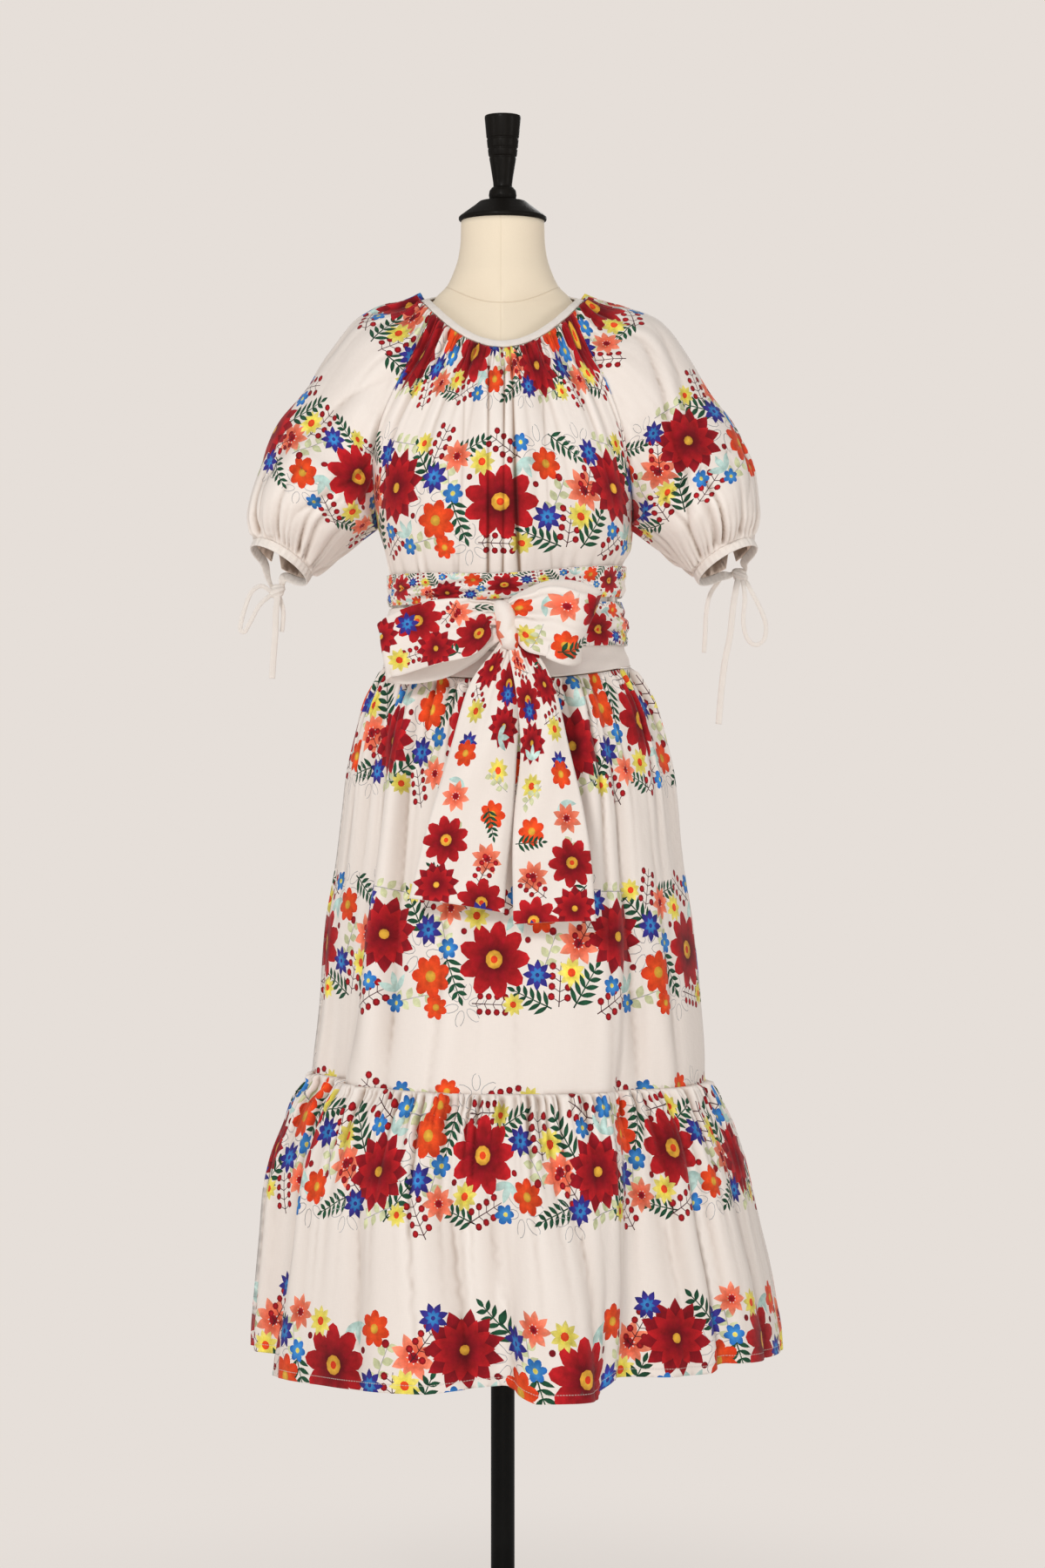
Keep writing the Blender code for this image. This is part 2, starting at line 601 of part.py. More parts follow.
def sweep(name, centre, wide, thin, closed, rgb, sides=8):
    """Sweeps a flattened oval: wide and thin are the half axes along the path."""
    n = len(centre)
    verts = []
    for i in range(n):
        for k in range(sides):
            a = 2 * math.pi * (k + 0.5) / sides
            verts.append(centre[i] + wide[i] * math.cos(a) + thin[i] * math.sin(a))
    faces = []
    for i in range(n if closed else n - 1):
        for k in range(sides):
            m, l = (i + 1) % n, (k + 1) % sides
            faces.append((i * sides + k, i * sides + l, m * sides + l, m * sides + k))
    if not closed:
        faces.append(tuple(range(sides))[::-1])
        faces.append(tuple((n - 1) * sides + k for k in range(sides)))
    return face_out(add(name, verts, faces, rgb))


def unit(v):
    return v / np.linalg.norm(v, axis=-1, keepdims=True)


def smooth_path(points, count):
    """Evenly stepped points on a smooth curve through the given ones."""
    p = np.array(points, float)
    run = np.concatenate([[0], np.cumsum(np.linalg.norm(np.diff(p, axis=0), axis=1))])
    ext = np.vstack([2 * p[0] - p[1], p, 2 * p[-1] - p[-2]])
    s = np.linspace(0, run[-1], count)
    i = np.clip(np.searchsorted(run, s, side="right") - 1, 0, len(p) - 2)
    f = ((s - run[i]) / (run[i + 1] - run[i]))[:, None]
    a, b, c, d = ext[i], ext[i + 1], ext[i + 2], ext[i + 3]
    return 0.5 * (2 * b + (c - a) * f + (2 * a - 5 * b + 4 * c - d) * f**2
                  + (3 * b - 3 * c + d - a) * f**3)


def tie(name, points, width, thick, count, facing=(0, -1, 0)):
    """A flat strand whose broad side faces one way."""
    path = smooth_path(points, count)
    along = unit(np.gradient(path, axis=0))
    wide = unit(np.cross(along, np.array(facing, float)))
    thin = unit(np.cross(wide, along))
    return sweep(name, path, wide * width / 2, thin * thick / 2, False, TAPE, 6)


def strip(name, table, nu, nv, rgb):
    """A double-layer strip whose middle line, width and lean come from a table."""
    cols = np.array(table, float).T
    mid = smooth_path(cols[:3].T, nu + 1)
    rows = np.linspace(0, 1, len(table))
    run = np.concatenate([[0], np.cumsum(np.linalg.norm(np.diff(cols[:3].T, axis=0), axis=1))])
    at = np.linspace(0, run[-1], nu + 1)
    width = curve(at, run, cols[3])
    lean = np.radians(curve(at, run, cols[4]))
    belly = curve(at, run, cols[5])
    along = unit(np.gradient(mid, axis=0))
    up = np.stack([np.sin(lean), 0 * lean, np.cos(lean)], -1)
    up = unit(up - along * np.sum(up * along, -1, keepdims=True))
    out = unit(np.cross(along, up))
    points = []
    for v in np.linspace(-1, 1, nv + 1):
        points.append(mid + up * (v * width / 2)[:, None] + out * (belly * (1 - v * v))[:, None])
    verts, faces = grid(np.array(points))
    obj = add(name, verts, faces, rgb)
    mod = obj.modifiers.new("wall", "SOLIDIFY")
    mod.thickness = STRIP
    mod.offset = 0.0
    mod.use_even_offset = True
    mod.use_quality_normals = True
    return obj


def lathe(name, profile, steps, rgb, rough):
    """A turned solid: the profile goes once round the pole's axis."""
    mesh = bpy.data.meshes.new(name)
    verts = [(r, 0, z) for r, z in profile]
    mesh.from_pydata(verts, [(i, i + 1) for i in range(len(verts) - 1)], [])
    obj = bpy.data.objects.new(name, mesh)
    bpy.context.scene.collection.objects.link(obj)
    mod = obj.modifiers.new("turned", "SCREW")
    mod.steps = steps
    mod.render_steps = steps
    mod.angle = 2 * math.pi
    mod.use_merge_vertices = True
    mod.merge_threshold = 0.0001
    mod.use_normal_calculate = False
    mod.use_normal_flip = FLIP_LATHE
    obj.data.materials.append(material(name + "_finish", rgb, rough))
    return obj


def neck_binding():
    phi = np.linspace(0, 2 * math.pi, 36, endpoint=False)
    way = neck_inward(phi)
    centre = neck(phi) + way * (BINDING_WIDE / 2 + SEAM + 0.0006)
    along = unit(np.roll(centre, -1, 0) - np.roll(centre, 1, 0))
    normal = unit(np.cross(way, along))
    sweep("neck_binding", centre, way * BINDING_WIDE / 2, normal * BINDING_THICK / 2, True, TAPE, 6)


def waistband():
    phi = np.linspace(0, 2 * math.pi, 32, endpoint=False)
    rows = [body_ring(phi, band_low(phi) + BAND_HIGH * v, 0.0006)[0] for v in (1, 0.5, 0)]
    verts, faces = grid(np.array(rows), wrap=True)
    thicken(add("waistband", verts, faces, COTTON), CLOTH)


def sash_wrap(name, z_mid, rise_right, dip, high, lift):
    """One turn of the sash round the waist, over the bodice and waistband."""
    phi = np.linspace(0, 2 * math.pi, 32, endpoint=False)
    rows = []
    for v, bulge in ((1, 0.0), (0.5, 0.0022), (0, 0.0)):
        z = z_mid + rise_right * np.sin(phi) - dip * np.clip(np.cos(phi), 0, 1) ** 2
        z = z + high * (v - 0.5)
        rows.append(body_ring(phi, z, lift + STRIP + bulge)[0])
    verts, faces = grid(np.array(rows), wrap=True)
    thicken(add(name, verts, faces, PRINTED), STRIP)


def casing_path(side, count):
    """The casing round the cuff, its two ends drawn down to the tie's knot."""
    centre, long, back, down = cuff_frame(side)
    t = np.linspace(SLIT_AT + SLIT_WIDE / 2, SLIT_AT + 1 - SLIT_WIDE / 2, count)
    a = 2 * math.pi * t
    ring = centre - long * np.cos(a)[:, None] - back * np.sin(a)[:, None]
    outward = unit(ring - centre)
    ring = ring + down * (CASING_HIGH / 2 + SEAM + 0.0004)
    knot_at = np.array(TIE_LEFT_KNOT if side < 0 else TIE_RIGHT_KNOT)
    runs = []
    for end in (ring[0], ring[-1]):
        beside = math.copysign(TIE_KNOT[0] + 0.0022, end[0] - knot_at[0])
        stop = knot_at + (beside, 0.0040, 0.0045)
        runs.append([stop + (end - stop) * part + down * sag
                     for part, sag in ((0, 0), (0.34, 0.0016), (0.70, 0.0022))])
    path = np.concatenate([runs[0], ring, runs[1][::-1]])
    outward = np.concatenate([[outward[0]] * 3, outward, [outward[-1]] * 3])
    along = unit(np.gradient(path, axis=0))
    wide = unit(np.cross(along, outward))
    wide = wide * np.sign(np.dot(wide[len(wide) // 2], down))
    narrow = np.array([0.52, 0.60, 0.82])
    high = np.concatenate([narrow, np.ones(count), narrow[::-1]]) * CASING_HIGH / 2
    return path, wide * high[:, None], outward


def cuff_casing(name, side):
    path, wide, outward = casing_path(side, 13)
    sweep(name, path, wide, outward * 0.0019, False, TAPE, 6)


def knot(name, centre, half, rows, cols, rgb):
    """A rounded knot, flattened front to back."""
    verts = [(centre[0], centre[1], centre[2] + half[2])]
    for i in range(1, rows):
        a = math.pi * i / rows
        for j in range(cols):
            b = 2 * math.pi * j / cols
            ring = math.sin(a) ** 0.8
            verts.append((centre[0] + half[0] * ring * math.cos(b),
                          centre[1] + half[1] * ring * math.sin(b),
                          centre[2] + half[2] * math.cos(a)))
    verts.append((centre[0], centre[1], centre[2] - half[2]))
    faces = []
    for j in range(cols):
        k = (j + 1) % cols
        faces.append((0, 1 + j, 1 + k))
        for i in range(rows - 2):
            faces.append((1 + i * cols + j, 1 + (i + 1) * cols + j,
                          1 + (i + 1) * cols + k, 1 + i * cols + k))
        last = 1 + (rows - 2) * cols
        faces.append((last + j, len(verts) - 1, last + k))
    face_out(add(name, verts, faces, rgb))


def form_body():
    zs, half, front, back, full = FORM_C
    gaps = np.diff(zs) > 0.022
    fine = np.unique(np.concatenate([zs, ((zs[1:] + zs[:-1]) / 2)[gaps]]))
    phi = np.linspace(0, 2 * math.pi, 36, endpoint=False)
    s, c = np.sin(phi), np.cos(phi)
    verts = []
    for z in fine[::-1]:
        deep = np.where(c > 0, curve(z, zs, front), curve(z, zs, back))
        power = 2 / curve(z, zs, full)
        x = curve(z, zs, half) * np.sign(s) * abs(s) ** power
        y = -deep * np.sign(c) * abs(c) ** power
        verts.extend(np.stack([x, y, np.full_like(x, z)], -1))
    n, cols = len(fine), len(phi)
    faces = []
    for i in range(n - 1):
        for j in range(cols):
            k = (j + 1) % cols
            faces.append((i * cols + j, (i + 1) * cols + j, (i + 1) * cols + k, i * cols + k))
    faces.append(tuple(range(cols)))
    faces.append(tuple((n - 1) * cols + j for j in range(cols))[::-1])
    face_out(add("form_body", verts, faces, JERSEY, 0.75))


def build():
    remove_default_objects()
    # The stand, from the floor up.
    lathe("stand_base", [(0.0, 0.0), (BASE_R - 0.002, 0.0), (BASE_R, 0.002),
                         (BASE_R, BASE_THICK - 0.002), (BASE_R - 0.002, BASE_THICK),
                         (0.034, BASE_THICK + 0.004), (0.024, 0.020), (0.0215, 0.052),
                         (0.0195, 0.055), (0.0, 0.055)], 56, BLACK, 0.35)
    lathe("stand_pole", [(0.0, 0.0553), (POLE_R, 0.0553), (POLE_R, 0.8297), (0.0, 0.8297)],
          32, BLACK, 0.30)
    form_body()
    lathe("form_cap", CAP, 40, BLACK, 0.30)
    lathe("form_finial", FINIAL, 28, BLACK, 0.28)
    # The dress.
    bodice("bodice_front", True, 16, 7, 3)
    bodice("bodice_back", False, 12, 6, 3)
    rows = [0, 0.8, 1.7, 2.7, 3.8, 5.0, 6, 7, 8.0, 8.6, 9]
    sleeve("sleeve_left", -1, 14, rows)
    sleeve("sleeve_right", 1, 14, rows)
    neck_binding()
    cuff_casing("cuff_casing_left", -1)
    cuff_casing("cuff_casing_right", 1)
    waistband()
    skirt_tier("skirt_front", True, lambda p: band_low(p) - SEAM - 0.0008, seam_z, 22, 9, 0.66, COTTON)
    skirt_tier("skirt_back", False, lambda p: band_low(p) - SEAM - 0.0008, seam_z, 16, 9, 0.66, COTTON)
    skirt_tier("flounce_front", True, lambda p: seam_z(p) - SEAM - 0.0005, hem_z, 38, 6, 0.36, PRINTED)
    skirt_tier("flounce_back", False, lambda p: seam_z(p) - SEAM - 0.0005, hem_z, 28, 5, 0.36, PRINTED)
    sash_wrap("sash_wrap_upper", 1.1790, 0.005, 0.004, 0.034, 0.0034)
    sash_wrap("sash_wrap_lower", 1.1340, 0.004, 0.004, 0.048, 0.0030)
    # The bow.
    knot("bow_knot", KNOT, KNOT_HALF, 8, 12, PRINTED)
    strip("bow_loop_left", BOW_LOOP_LEFT, 18, 3, PRINTED)
    strip("bow_loop_right", BOW_LOOP_RIGHT, 17, 3, PRINTED)
    strip("bow_tail_left", TAIL_LEFT, 9, 4, PRINTED)
    strip("bow_tail_right", TAIL_RIGHT, 9, 4, PRINTED)
    # The sleeve ties.
    knot("tie_left_knot", TIE_LEFT_KNOT, TIE_KNOT, 6, 8, TAPE)
    tie("tie_left_loop", TIE_LEFT_LOOP, 0.0050, 0.0018, 14)
    tie("tie_left_end", TIE_LEFT_END, 0.0070, 0.0020, 9)
    tie("tie_left_strand", TIE_LEFT_STRAND, 0.0050, 0.0020, 6)
    knot("tie_right_knot", TIE_RIGHT_KNOT, TIE_KNOT, 6, 8, TAPE)
    tie("tie_right_loop", TIE_RIGHT_LOOP, 0.0050, 0.0018, 15)
    tie("tie_right_long_end", TIE_RIGHT_LONG, 0.0070, 0.0020, 11)
    tie("tie_right_short_end", TIE_RIGHT_SHORT, 0.0050, 0.0018, 8)


build()
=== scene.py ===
import math
import random

import bpy
import numpy as np
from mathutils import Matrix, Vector
from mathutils.kdtree import KDTree
from mathutils.geometry import delaunay_2d_cdt


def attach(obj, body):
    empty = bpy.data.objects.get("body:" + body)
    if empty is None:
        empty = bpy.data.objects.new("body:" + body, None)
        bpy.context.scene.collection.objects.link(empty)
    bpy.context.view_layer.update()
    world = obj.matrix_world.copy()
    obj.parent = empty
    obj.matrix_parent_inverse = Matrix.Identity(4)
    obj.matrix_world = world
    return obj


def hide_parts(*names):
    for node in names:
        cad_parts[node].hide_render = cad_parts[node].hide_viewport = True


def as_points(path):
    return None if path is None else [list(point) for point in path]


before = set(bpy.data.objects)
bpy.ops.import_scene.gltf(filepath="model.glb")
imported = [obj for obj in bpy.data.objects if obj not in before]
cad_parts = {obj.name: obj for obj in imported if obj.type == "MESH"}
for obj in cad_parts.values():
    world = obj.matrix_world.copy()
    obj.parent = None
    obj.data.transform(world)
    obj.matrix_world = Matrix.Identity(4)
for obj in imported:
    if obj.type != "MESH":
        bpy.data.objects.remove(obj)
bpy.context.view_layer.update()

# ---------------------------------------------------------------- dress sizes

SEAM = 0.0003
NECK_HALF = 0.0915
NECK_FRONT = 0.078
NECK_BACK = 0.060
NECK_SIDE_Z = 1.497
NECK_FRONT_DROP = 0.060
NECK_BACK_RISE = 0.012
BINDING_WIDE = 0.0090
BINDING_THICK = 0.0026
BAND_Z = 1.0910
BAND_SAG = 0.0165
BAND_HIGH = 0.0300
SEAM_Z = 0.6300
SEAM_RISE_LEFT = 0.0100
HEM_Z = 0.3270
HEM_DROP = 0.0060
ARMPIT_Z = 1.2450
RAGLAN_AT = 58
CASING_HIGH = 0.0095
CASING_THICK = 0.0024
CUFF_TILT = math.radians(19)
SLIT_AT = 0.70
SLIT_WIDE = 0.110
BAND_ROUND = 0.772
SASH_ROUND = 0.800
SASH_DIP = 0.004
UPPER_CUT = 0.044
LOWER_CUT = 0.058
LOOP_LEFT_CUT = 0.074
LOOP_RIGHT_CUT = 0.080
TAIL_LEFT_CUT = 0.100
TAIL_RIGHT_CUT = 0.089
KNOT_ROUND = 0.092
KNOT_RUN = 0.062
STRIP = 0.0022
POLE_R = 0.0132
BASE_R = 0.1900
BASE_THICK = 0.0080
CLOTH = 0.0009
DOUBLE_CLOTH = 0.0018

# A row per height: half widths to the viewer's left and right, depths in front
# and behind.
BODY = [
    # z, left, right, front, back
    (0.320, 0.2690, 0.2965, 0.246, 0.236),
    (0.350, 0.2690, 0.2955, 0.245, 0.235),
    (0.388, 0.2670, 0.2900, 0.241, 0.231),
    (0.427, 0.2645, 0.2840, 0.236, 0.226),
    (0.465, 0.2620, 0.2755, 0.230, 0.221),
    (0.504, 0.2600, 0.2675, 0.223, 0.214),
    (0.543, 0.2530, 0.2590, 0.214, 0.206),
    (0.582, 0.2390, 0.2450, 0.203, 0.195),
    (0.612, 0.2270, 0.2300, 0.191, 0.183),
    (0.633, 0.2090, 0.2170, 0.178, 0.170),
    (0.659, 0.2065, 0.2175, 0.175, 0.167),
    (0.718, 0.2015, 0.2150, 0.170, 0.162),
    (0.795, 0.1985, 0.2095, 0.163, 0.156),
    (0.873, 0.1860, 0.2000, 0.156, 0.148),
    (0.931, 0.1790, 0.1950, 0.150, 0.142),
    (0.970, 0.1745, 0.1900, 0.145, 0.136),
    (1.009, 0.1660, 0.1800, 0.137, 0.128),
    (1.047, 0.1545, 0.1675, 0.128, 0.117),
    (1.070, 0.1430, 0.1545, 0.119, 0.108),
    (1.090, 0.1330, 0.1420, 0.111, 0.099),
    (1.115, 0.1270, 0.1335, 0.107, 0.092),
    (1.150, 0.1210, 0.1270, 0.106, 0.087),
    (1.180, 0.1215, 0.1275, 0.108, 0.088),
    (1.203, 0.1270, 0.1330, 0.115, 0.092),
    (1.222, 0.1320, 0.1430, 0.120, 0.096),
    (1.245, 0.1390, 0.1450, 0.123, 0.100),
]

# Bodice rows above the armpits: centre height and depth, then the raglan seam.
FRONT = [
    # row, centre z, centre depth, edge z, edge left, edge right, edge depth, open deg
    (0, 1.4370, 0.0780, 1.4802, 0.0776, 0.0776, 0.0413, 58),
    (1, 1.4150, 0.0920, 1.4320, 0.0985, 0.0970, 0.0650, 60),
    (2, 1.3850, 0.1040, 1.3970, 0.1160, 0.1150, 0.0800, 64),
    (3, 1.3450, 0.1180, 1.3500, 0.1350, 0.1310, 0.0790, 70),
    (4, 1.3100, 0.1240, 1.3100, 0.1425, 0.1390, 0.0610, 76),
    (5, 1.2780, 0.1250, 1.2750, 0.1420, 0.1430, 0.0340, 83),
    (6, 1.2450, 0.1230, 1.2450, 0.1390, 0.1450, 0.0000, 90),
]
BACK = [
    (0, 1.5090, 0.0600, 1.5037, 0.0776, 0.0776, 0.0318, 58),
    (1, 1.4750, 0.0810, 1.4700, 0.0985, 0.0985, 0.0600, 60),
    (2, 1.4320, 0.0970, 1.4250, 0.1180, 0.1190, 0.0790, 64),
    (3, 1.3750, 0.1060, 1.3650, 0.1360, 0.1370, 0.0800, 70),
    (4, 1.3200, 0.1070, 1.3150, 0.1425, 0.1430, 0.0620, 76),
    (5, 1.2800, 0.1040, 1.2750, 0.1420, 0.1440, 0.0340, 83),
    (6, 1.2450, 0.1000, 1.2450, 0.1390, 0.1450, 0.0000, 90),
]

# Sleeve rows: the highest line, half depth of the tube, how far it has closed.
SLEEVE = [
    # row, top left, top right, top z, low side x, low side z, half depth, closed
    (0, 0.0915, 0.0915, 1.4970, 0.0, 0.0, 0.000, 0.0),
    (1, 0.1290, 0.1330, 1.4925, 0.0, 0.0, 0.004, 0.02),
    (2, 0.1600, 0.1690, 1.4800, 0.0, 0.0, 0.012, 0.08),
    (3, 0.1950, 0.2060, 1.4380, 0.0, 0.0, 0.026, 0.22),
    (4, 0.2270, 0.2330, 1.3920, 0.0, 0.0, 0.046, 0.48),
    (5, 0.2490, 0.2510, 1.3650, 0.0, 0.0, 0.068, 0.78),
    (6, 0.2630, 0.2640, 1.3380, 0.1390, 1.2450, 0.086, 1.0),
    (7, 0.2770, 0.2790, 1.2950, 0.1700, 1.2220, 0.084, 1.0),
    (8, 0.2820, 0.2850, 1.2560, 0.1980, 1.2030, 0.064, 1.0),
    (9, 0.2760, 0.2790, 1.2290, 0.2133, 1.1935, 0.037, 1.0),
]

# Deep folds of the skirt and flounce: the angles each runs between at the seam
# and at the hem, the softness of its flanks, how far it stands out at the hem,
# its overhang and the height it starts at.
FOLDS = [
    # from seam, from hem, to seam, to hem, soft from, soft to, out, pinch, start z
    (-108, -110, -74, -77, 12, 8, 0.012, 0.2, 0.80),
    (-74, -77, -54, -62, 9, 7, -0.016, 0.0, 1.02),
    (-52, -60, 31, 21, 8, 8, 0.026, 0.35, 1.02),
    (-34, -36, 0, -2, 14, 12, 0.010, 0.0, 0.60),
    (3, 4, 24, 15.5, 8, 6, 0.034, 0.45, 0.58),
    (33, 24, 46, 36, 7, 8, -0.012, 0.0, 0.80),
    (40, 33, 52, 52, 12, 7, 0.012, 0.2, 0.66),
    (54, 56, 100, 104, 7, 14, 0.016, 0.3, 0.90),
    (118, 116, 136, 138, 10, 8, 0.022, 0.3, 0.85),
    (150, 148, 170, 172, 10, 10, 0.020, 0.3, 0.75),
    (-176, -178, -156, -154, 10, 10, 0.022, 0.3, 0.75),
    (-146, -144, -124, -122, 9, 10, 0.022, 0.3, 0.85),
]

# How far the hem rises between its folds, by the angle from the front.
HEM = [
    # angle, rise
    (-125, 0.0000),
    (-100, 0.0090),
    (-68, 0.0080),
    (-61, -0.0040),
    (-33, 0.0000),
    (-15, 0.0020),
    (-5, 0.0100),
    (3, 0.0130),
    (7, -0.0030),
    (16, -0.0035),
    (21, 0.0110),
    (35, 0.0075),
    (47, 0.0065),
    (52, 0.0130),
    (65, 0.0085),
    (85, 0.0045),
    (110, 0.0000),
]

# Dress form: a row per height.
FORM = [
    # z, half width, front, back, fullness (2 is an oval, 1 a diamond)
    (0.830, 0.150, 0.108, 0.102, 2.1),
    (0.845, 0.159, 0.118, 0.112, 2.1),
    (0.880, 0.165, 0.127, 0.121, 2.1),
    (0.930, 0.165, 0.129, 0.124, 2.1),
    (0.980, 0.157, 0.124, 0.118, 2.1),
    (1.030, 0.142, 0.112, 0.104, 2.1),
    (1.080, 0.122, 0.098, 0.088, 2.1),
    (1.130, 0.113, 0.092, 0.078, 2.1),
    (1.180, 0.112, 0.092, 0.076, 2.1),
    (1.230, 0.121, 0.104, 0.084, 2.1),
    (1.270, 0.129, 0.114, 0.090, 2.1),
    (1.310, 0.135, 0.115, 0.094, 2.1),
    (1.345, 0.146, 0.106, 0.095, 2.0),
    (1.380, 0.159, 0.092, 0.091, 1.9),
    (1.410, 0.164, 0.080, 0.085, 1.75),
    (1.435, 0.162, 0.070, 0.077, 1.5),
    (1.455, 0.150, 0.063, 0.069, 1.20),
    (1.470, 0.132, 0.059, 0.060, 1.06),
    (1.482, 0.109, 0.0570, 0.054, 1.05),
    (1.488, 0.0965, 0.0565, 0.0535, 1.10),
    (1.493, 0.0855, 0.0560, 0.0530, 1.22),
    (1.4965, 0.0780, 0.0558, 0.0530, 1.35),
    (1.503, 0.0730, 0.0555, 0.0530, 1.5),
    (1.514, 0.0620, 0.0540, 0.0530, 1.8),
    (1.527, 0.0555, 0.0525, 0.0525, 2.0),
    (1.545, 0.0495, 0.0490, 0.0495, 2.0),
    (1.565, 0.0468, 0.0468, 0.0468, 2.0),
    (1.5862, 0.0463, 0.0463, 0.0463, 2.0),
]

CAP = [(0.0, 1.5866), (0.0482, 1.5866), (0.0490, 1.5880), (0.0490, 1.5905), (0.0478, 1.5918)]
CAP += [(0.0400, 1.5975), (0.0310, 1.6040), (0.0262, 1.6080), (0.0247, 1.6086), (0.0, 1.6086)]
FINIAL = [
    (0.0, 1.6089), (0.0130, 1.6089), (0.0148, 1.6110), (0.0156, 1.6150), (0.0148, 1.6200),
    (0.0122, 1.6235), (0.0104, 1.6245), (0.0108, 1.6300), (0.0136, 1.6480), (0.0150, 1.6560),
    (0.0146, 1.6568), (0.0146, 1.6580), (0.0158, 1.6588), (0.0166, 1.6655), (0.0162, 1.6663),
    (0.0162, 1.6675), (0.0170, 1.6683), (0.0178, 1.6765), (0.0173, 1.6773), (0.0173, 1.6785),
    (0.0182, 1.6793), (0.0197, 1.6960), (0.0202, 1.7010), (0.0200, 1.7032), (0.0190, 1.7040),
    (0.0, 1.7040),
]

# The form's neck seam: its sides, its dip in front and its rise behind.
COLLAR_HALF = 0.063
COLLAR_Z = 1.5120
COLLAR_DROP = 0.0228
COLLAR_RISE = 0.0050

# Bow strips: the middle line, its width, its lean and its belly.
BOW_LOOP_LEFT = [
    # x, y, z, width, lean, belly
    (0.0000, -0.1440, 1.1390, 0.018, 0, 0.000),
    (-0.0145, -0.1490, 1.1430, 0.028, 0, 0.000),
    (-0.0260, -0.1560, 1.1365, 0.052, 0, 0.002),
    (-0.0460, -0.1610, 1.1275, 0.066, -2, 0.004),
    (-0.0740, -0.1600, 1.1225, 0.068, -4, 0.004),
    (-0.1000, -0.1510, 1.1150, 0.067, -7, 0.004),
    (-0.1200, -0.1395, 1.1070, 0.063, -12, 0.002),
    (-0.1278, -0.1310, 1.1030, 0.060, -13, 0.000),
    (-0.1215, -0.1220, 1.0990, 0.060, -12, 0.000),
    (-0.0990, -0.1225, 1.0990, 0.062, -8, 0.000),
    (-0.0740, -0.1280, 1.1030, 0.062, -2, 0.000),
    (-0.0400, -0.1340, 1.1130, 0.050, 0, 0.000),
    (-0.0190, -0.1360, 1.1220, 0.034, 0, 0.000),
    (0.0000, -0.1400, 1.1280, 0.022, 0, 0.000),
]
BOW_LOOP_RIGHT = [
    (0.0070, -0.1440, 1.1370, 0.034, -14, 0.000),
    (0.0195, -0.1500, 1.1370, 0.050, -8, 0.000),
    (0.0360, -0.1570, 1.1340, 0.068, 4, 0.003),
    (0.0560, -0.1630, 1.1335, 0.077, 8, 0.004),
    (0.0750, -0.1600, 1.1270, 0.080, 14, 0.004),
    (0.0885, -0.1480, 1.1270, 0.078, 18, 0.002),
    (0.0928, -0.1380, 1.1310, 0.074, 18, 0.000),
    (0.0905, -0.1280, 1.1380, 0.070, 14, 0.000),
    (0.0745, -0.1240, 1.1460, 0.068, 8, 0.000),
    (0.0520, -0.1290, 1.1500, 0.060, 0, 0.000),
    (0.0215, -0.1365, 1.1460, 0.040, 0, 0.000),
    (0.0070, -0.1400, 1.1400, 0.026, 0, 0.000),
]
TAIL_LEFT = [
    (0.0085, -0.1410, 1.1150, 0.018, 90, 0.000),
    (0.0040, -0.1430, 1.0970, 0.030, 90, 0.002),
    (-0.0085, -0.1510, 1.0560, 0.058, 94, 0.005),
    (-0.0195, -0.1620, 0.9950, 0.073, 97, 0.007),
    (-0.0310, -0.1740, 0.9300, 0.085, 101, 0.008),
    (-0.0420, -0.1840, 0.8700, 0.096, 105, 0.006),
    (-0.0480, -0.1900, 0.8310, 0.1035, 107, 0.005),
]
TAIL_RIGHT = [
    (0.0125, -0.1420, 1.1150, 0.018, 90, 0.000),
    (0.0215, -0.1470, 1.1000, 0.028, 90, 0.002),
    (0.0370, -0.1600, 1.0560, 0.042, 86, 0.005),
    (0.0460, -0.1710, 0.9950, 0.055, 85, 0.008),
    (0.0500, -0.1820, 0.9300, 0.073, 83, 0.008),
    (0.0540, -0.1920, 0.8650, 0.085, 82, 0.006),
    (0.0560, -0.1980, 0.8130, 0.089, 82, 0.005),
]
KNOT = (0.0045, -0.1435, 1.1310)
KNOT_HALF = (0.0135, 0.0170, 0.0270)

# Sleeve ties: path points of each strand.
TIE_KNOT = (0.0068, 0.0045, 0.0074)
TIE_LEFT_KNOT = (-0.2535, 0.0370, 1.1765)
TIE_LEFT_LOOP = [
    (-0.2615, 0.0325, 1.1770), (-0.2710, 0.0315, 1.1820), (-0.2820, 0.0310, 1.1750),
    (-0.2900, 0.0310, 1.1550), (-0.2945, 0.0300, 1.1350), (-0.2900, 0.0300, 1.1305),
    (-0.2835, 0.0300, 1.1410), (-0.2740, 0.0310, 1.1590), (-0.2640, 0.0325, 1.1690),
]
TIE_LEFT_END = [
    (-0.2530, 0.0330, 1.1670), (-0.2545, 0.0300, 1.1530), (-0.2550, 0.0280, 1.1300),
    (-0.2565, 0.0270, 1.1090), (-0.2580, 0.0265, 1.0880), (-0.2585, 0.0265, 1.0780),
]
TIE_LEFT_STRAND = [
    (-0.2500, 0.0420, 1.1665), (-0.2472, 0.0410, 1.1560), (-0.2470, 0.0400, 1.1450),
    (-0.2484, 0.0400, 1.1310),
]
TIE_RIGHT_KNOT = (0.2660, 0.0370, 1.1945)
TIE_RIGHT_LOOP = [
    (0.2692, 0.0325, 1.1860), (0.2712, 0.0300, 1.1680), (0.2695, 0.0295, 1.1430),
    (0.2735, 0.0295, 1.1240), (0.2830, 0.0300, 1.1160), (0.2925, 0.0305, 1.1215),
    (0.2950, 0.0310, 1.1370), (0.2900, 0.0325, 1.1540), (0.2800, 0.0345, 1.1740),
    (0.2740, 0.0360, 1.1855),
]
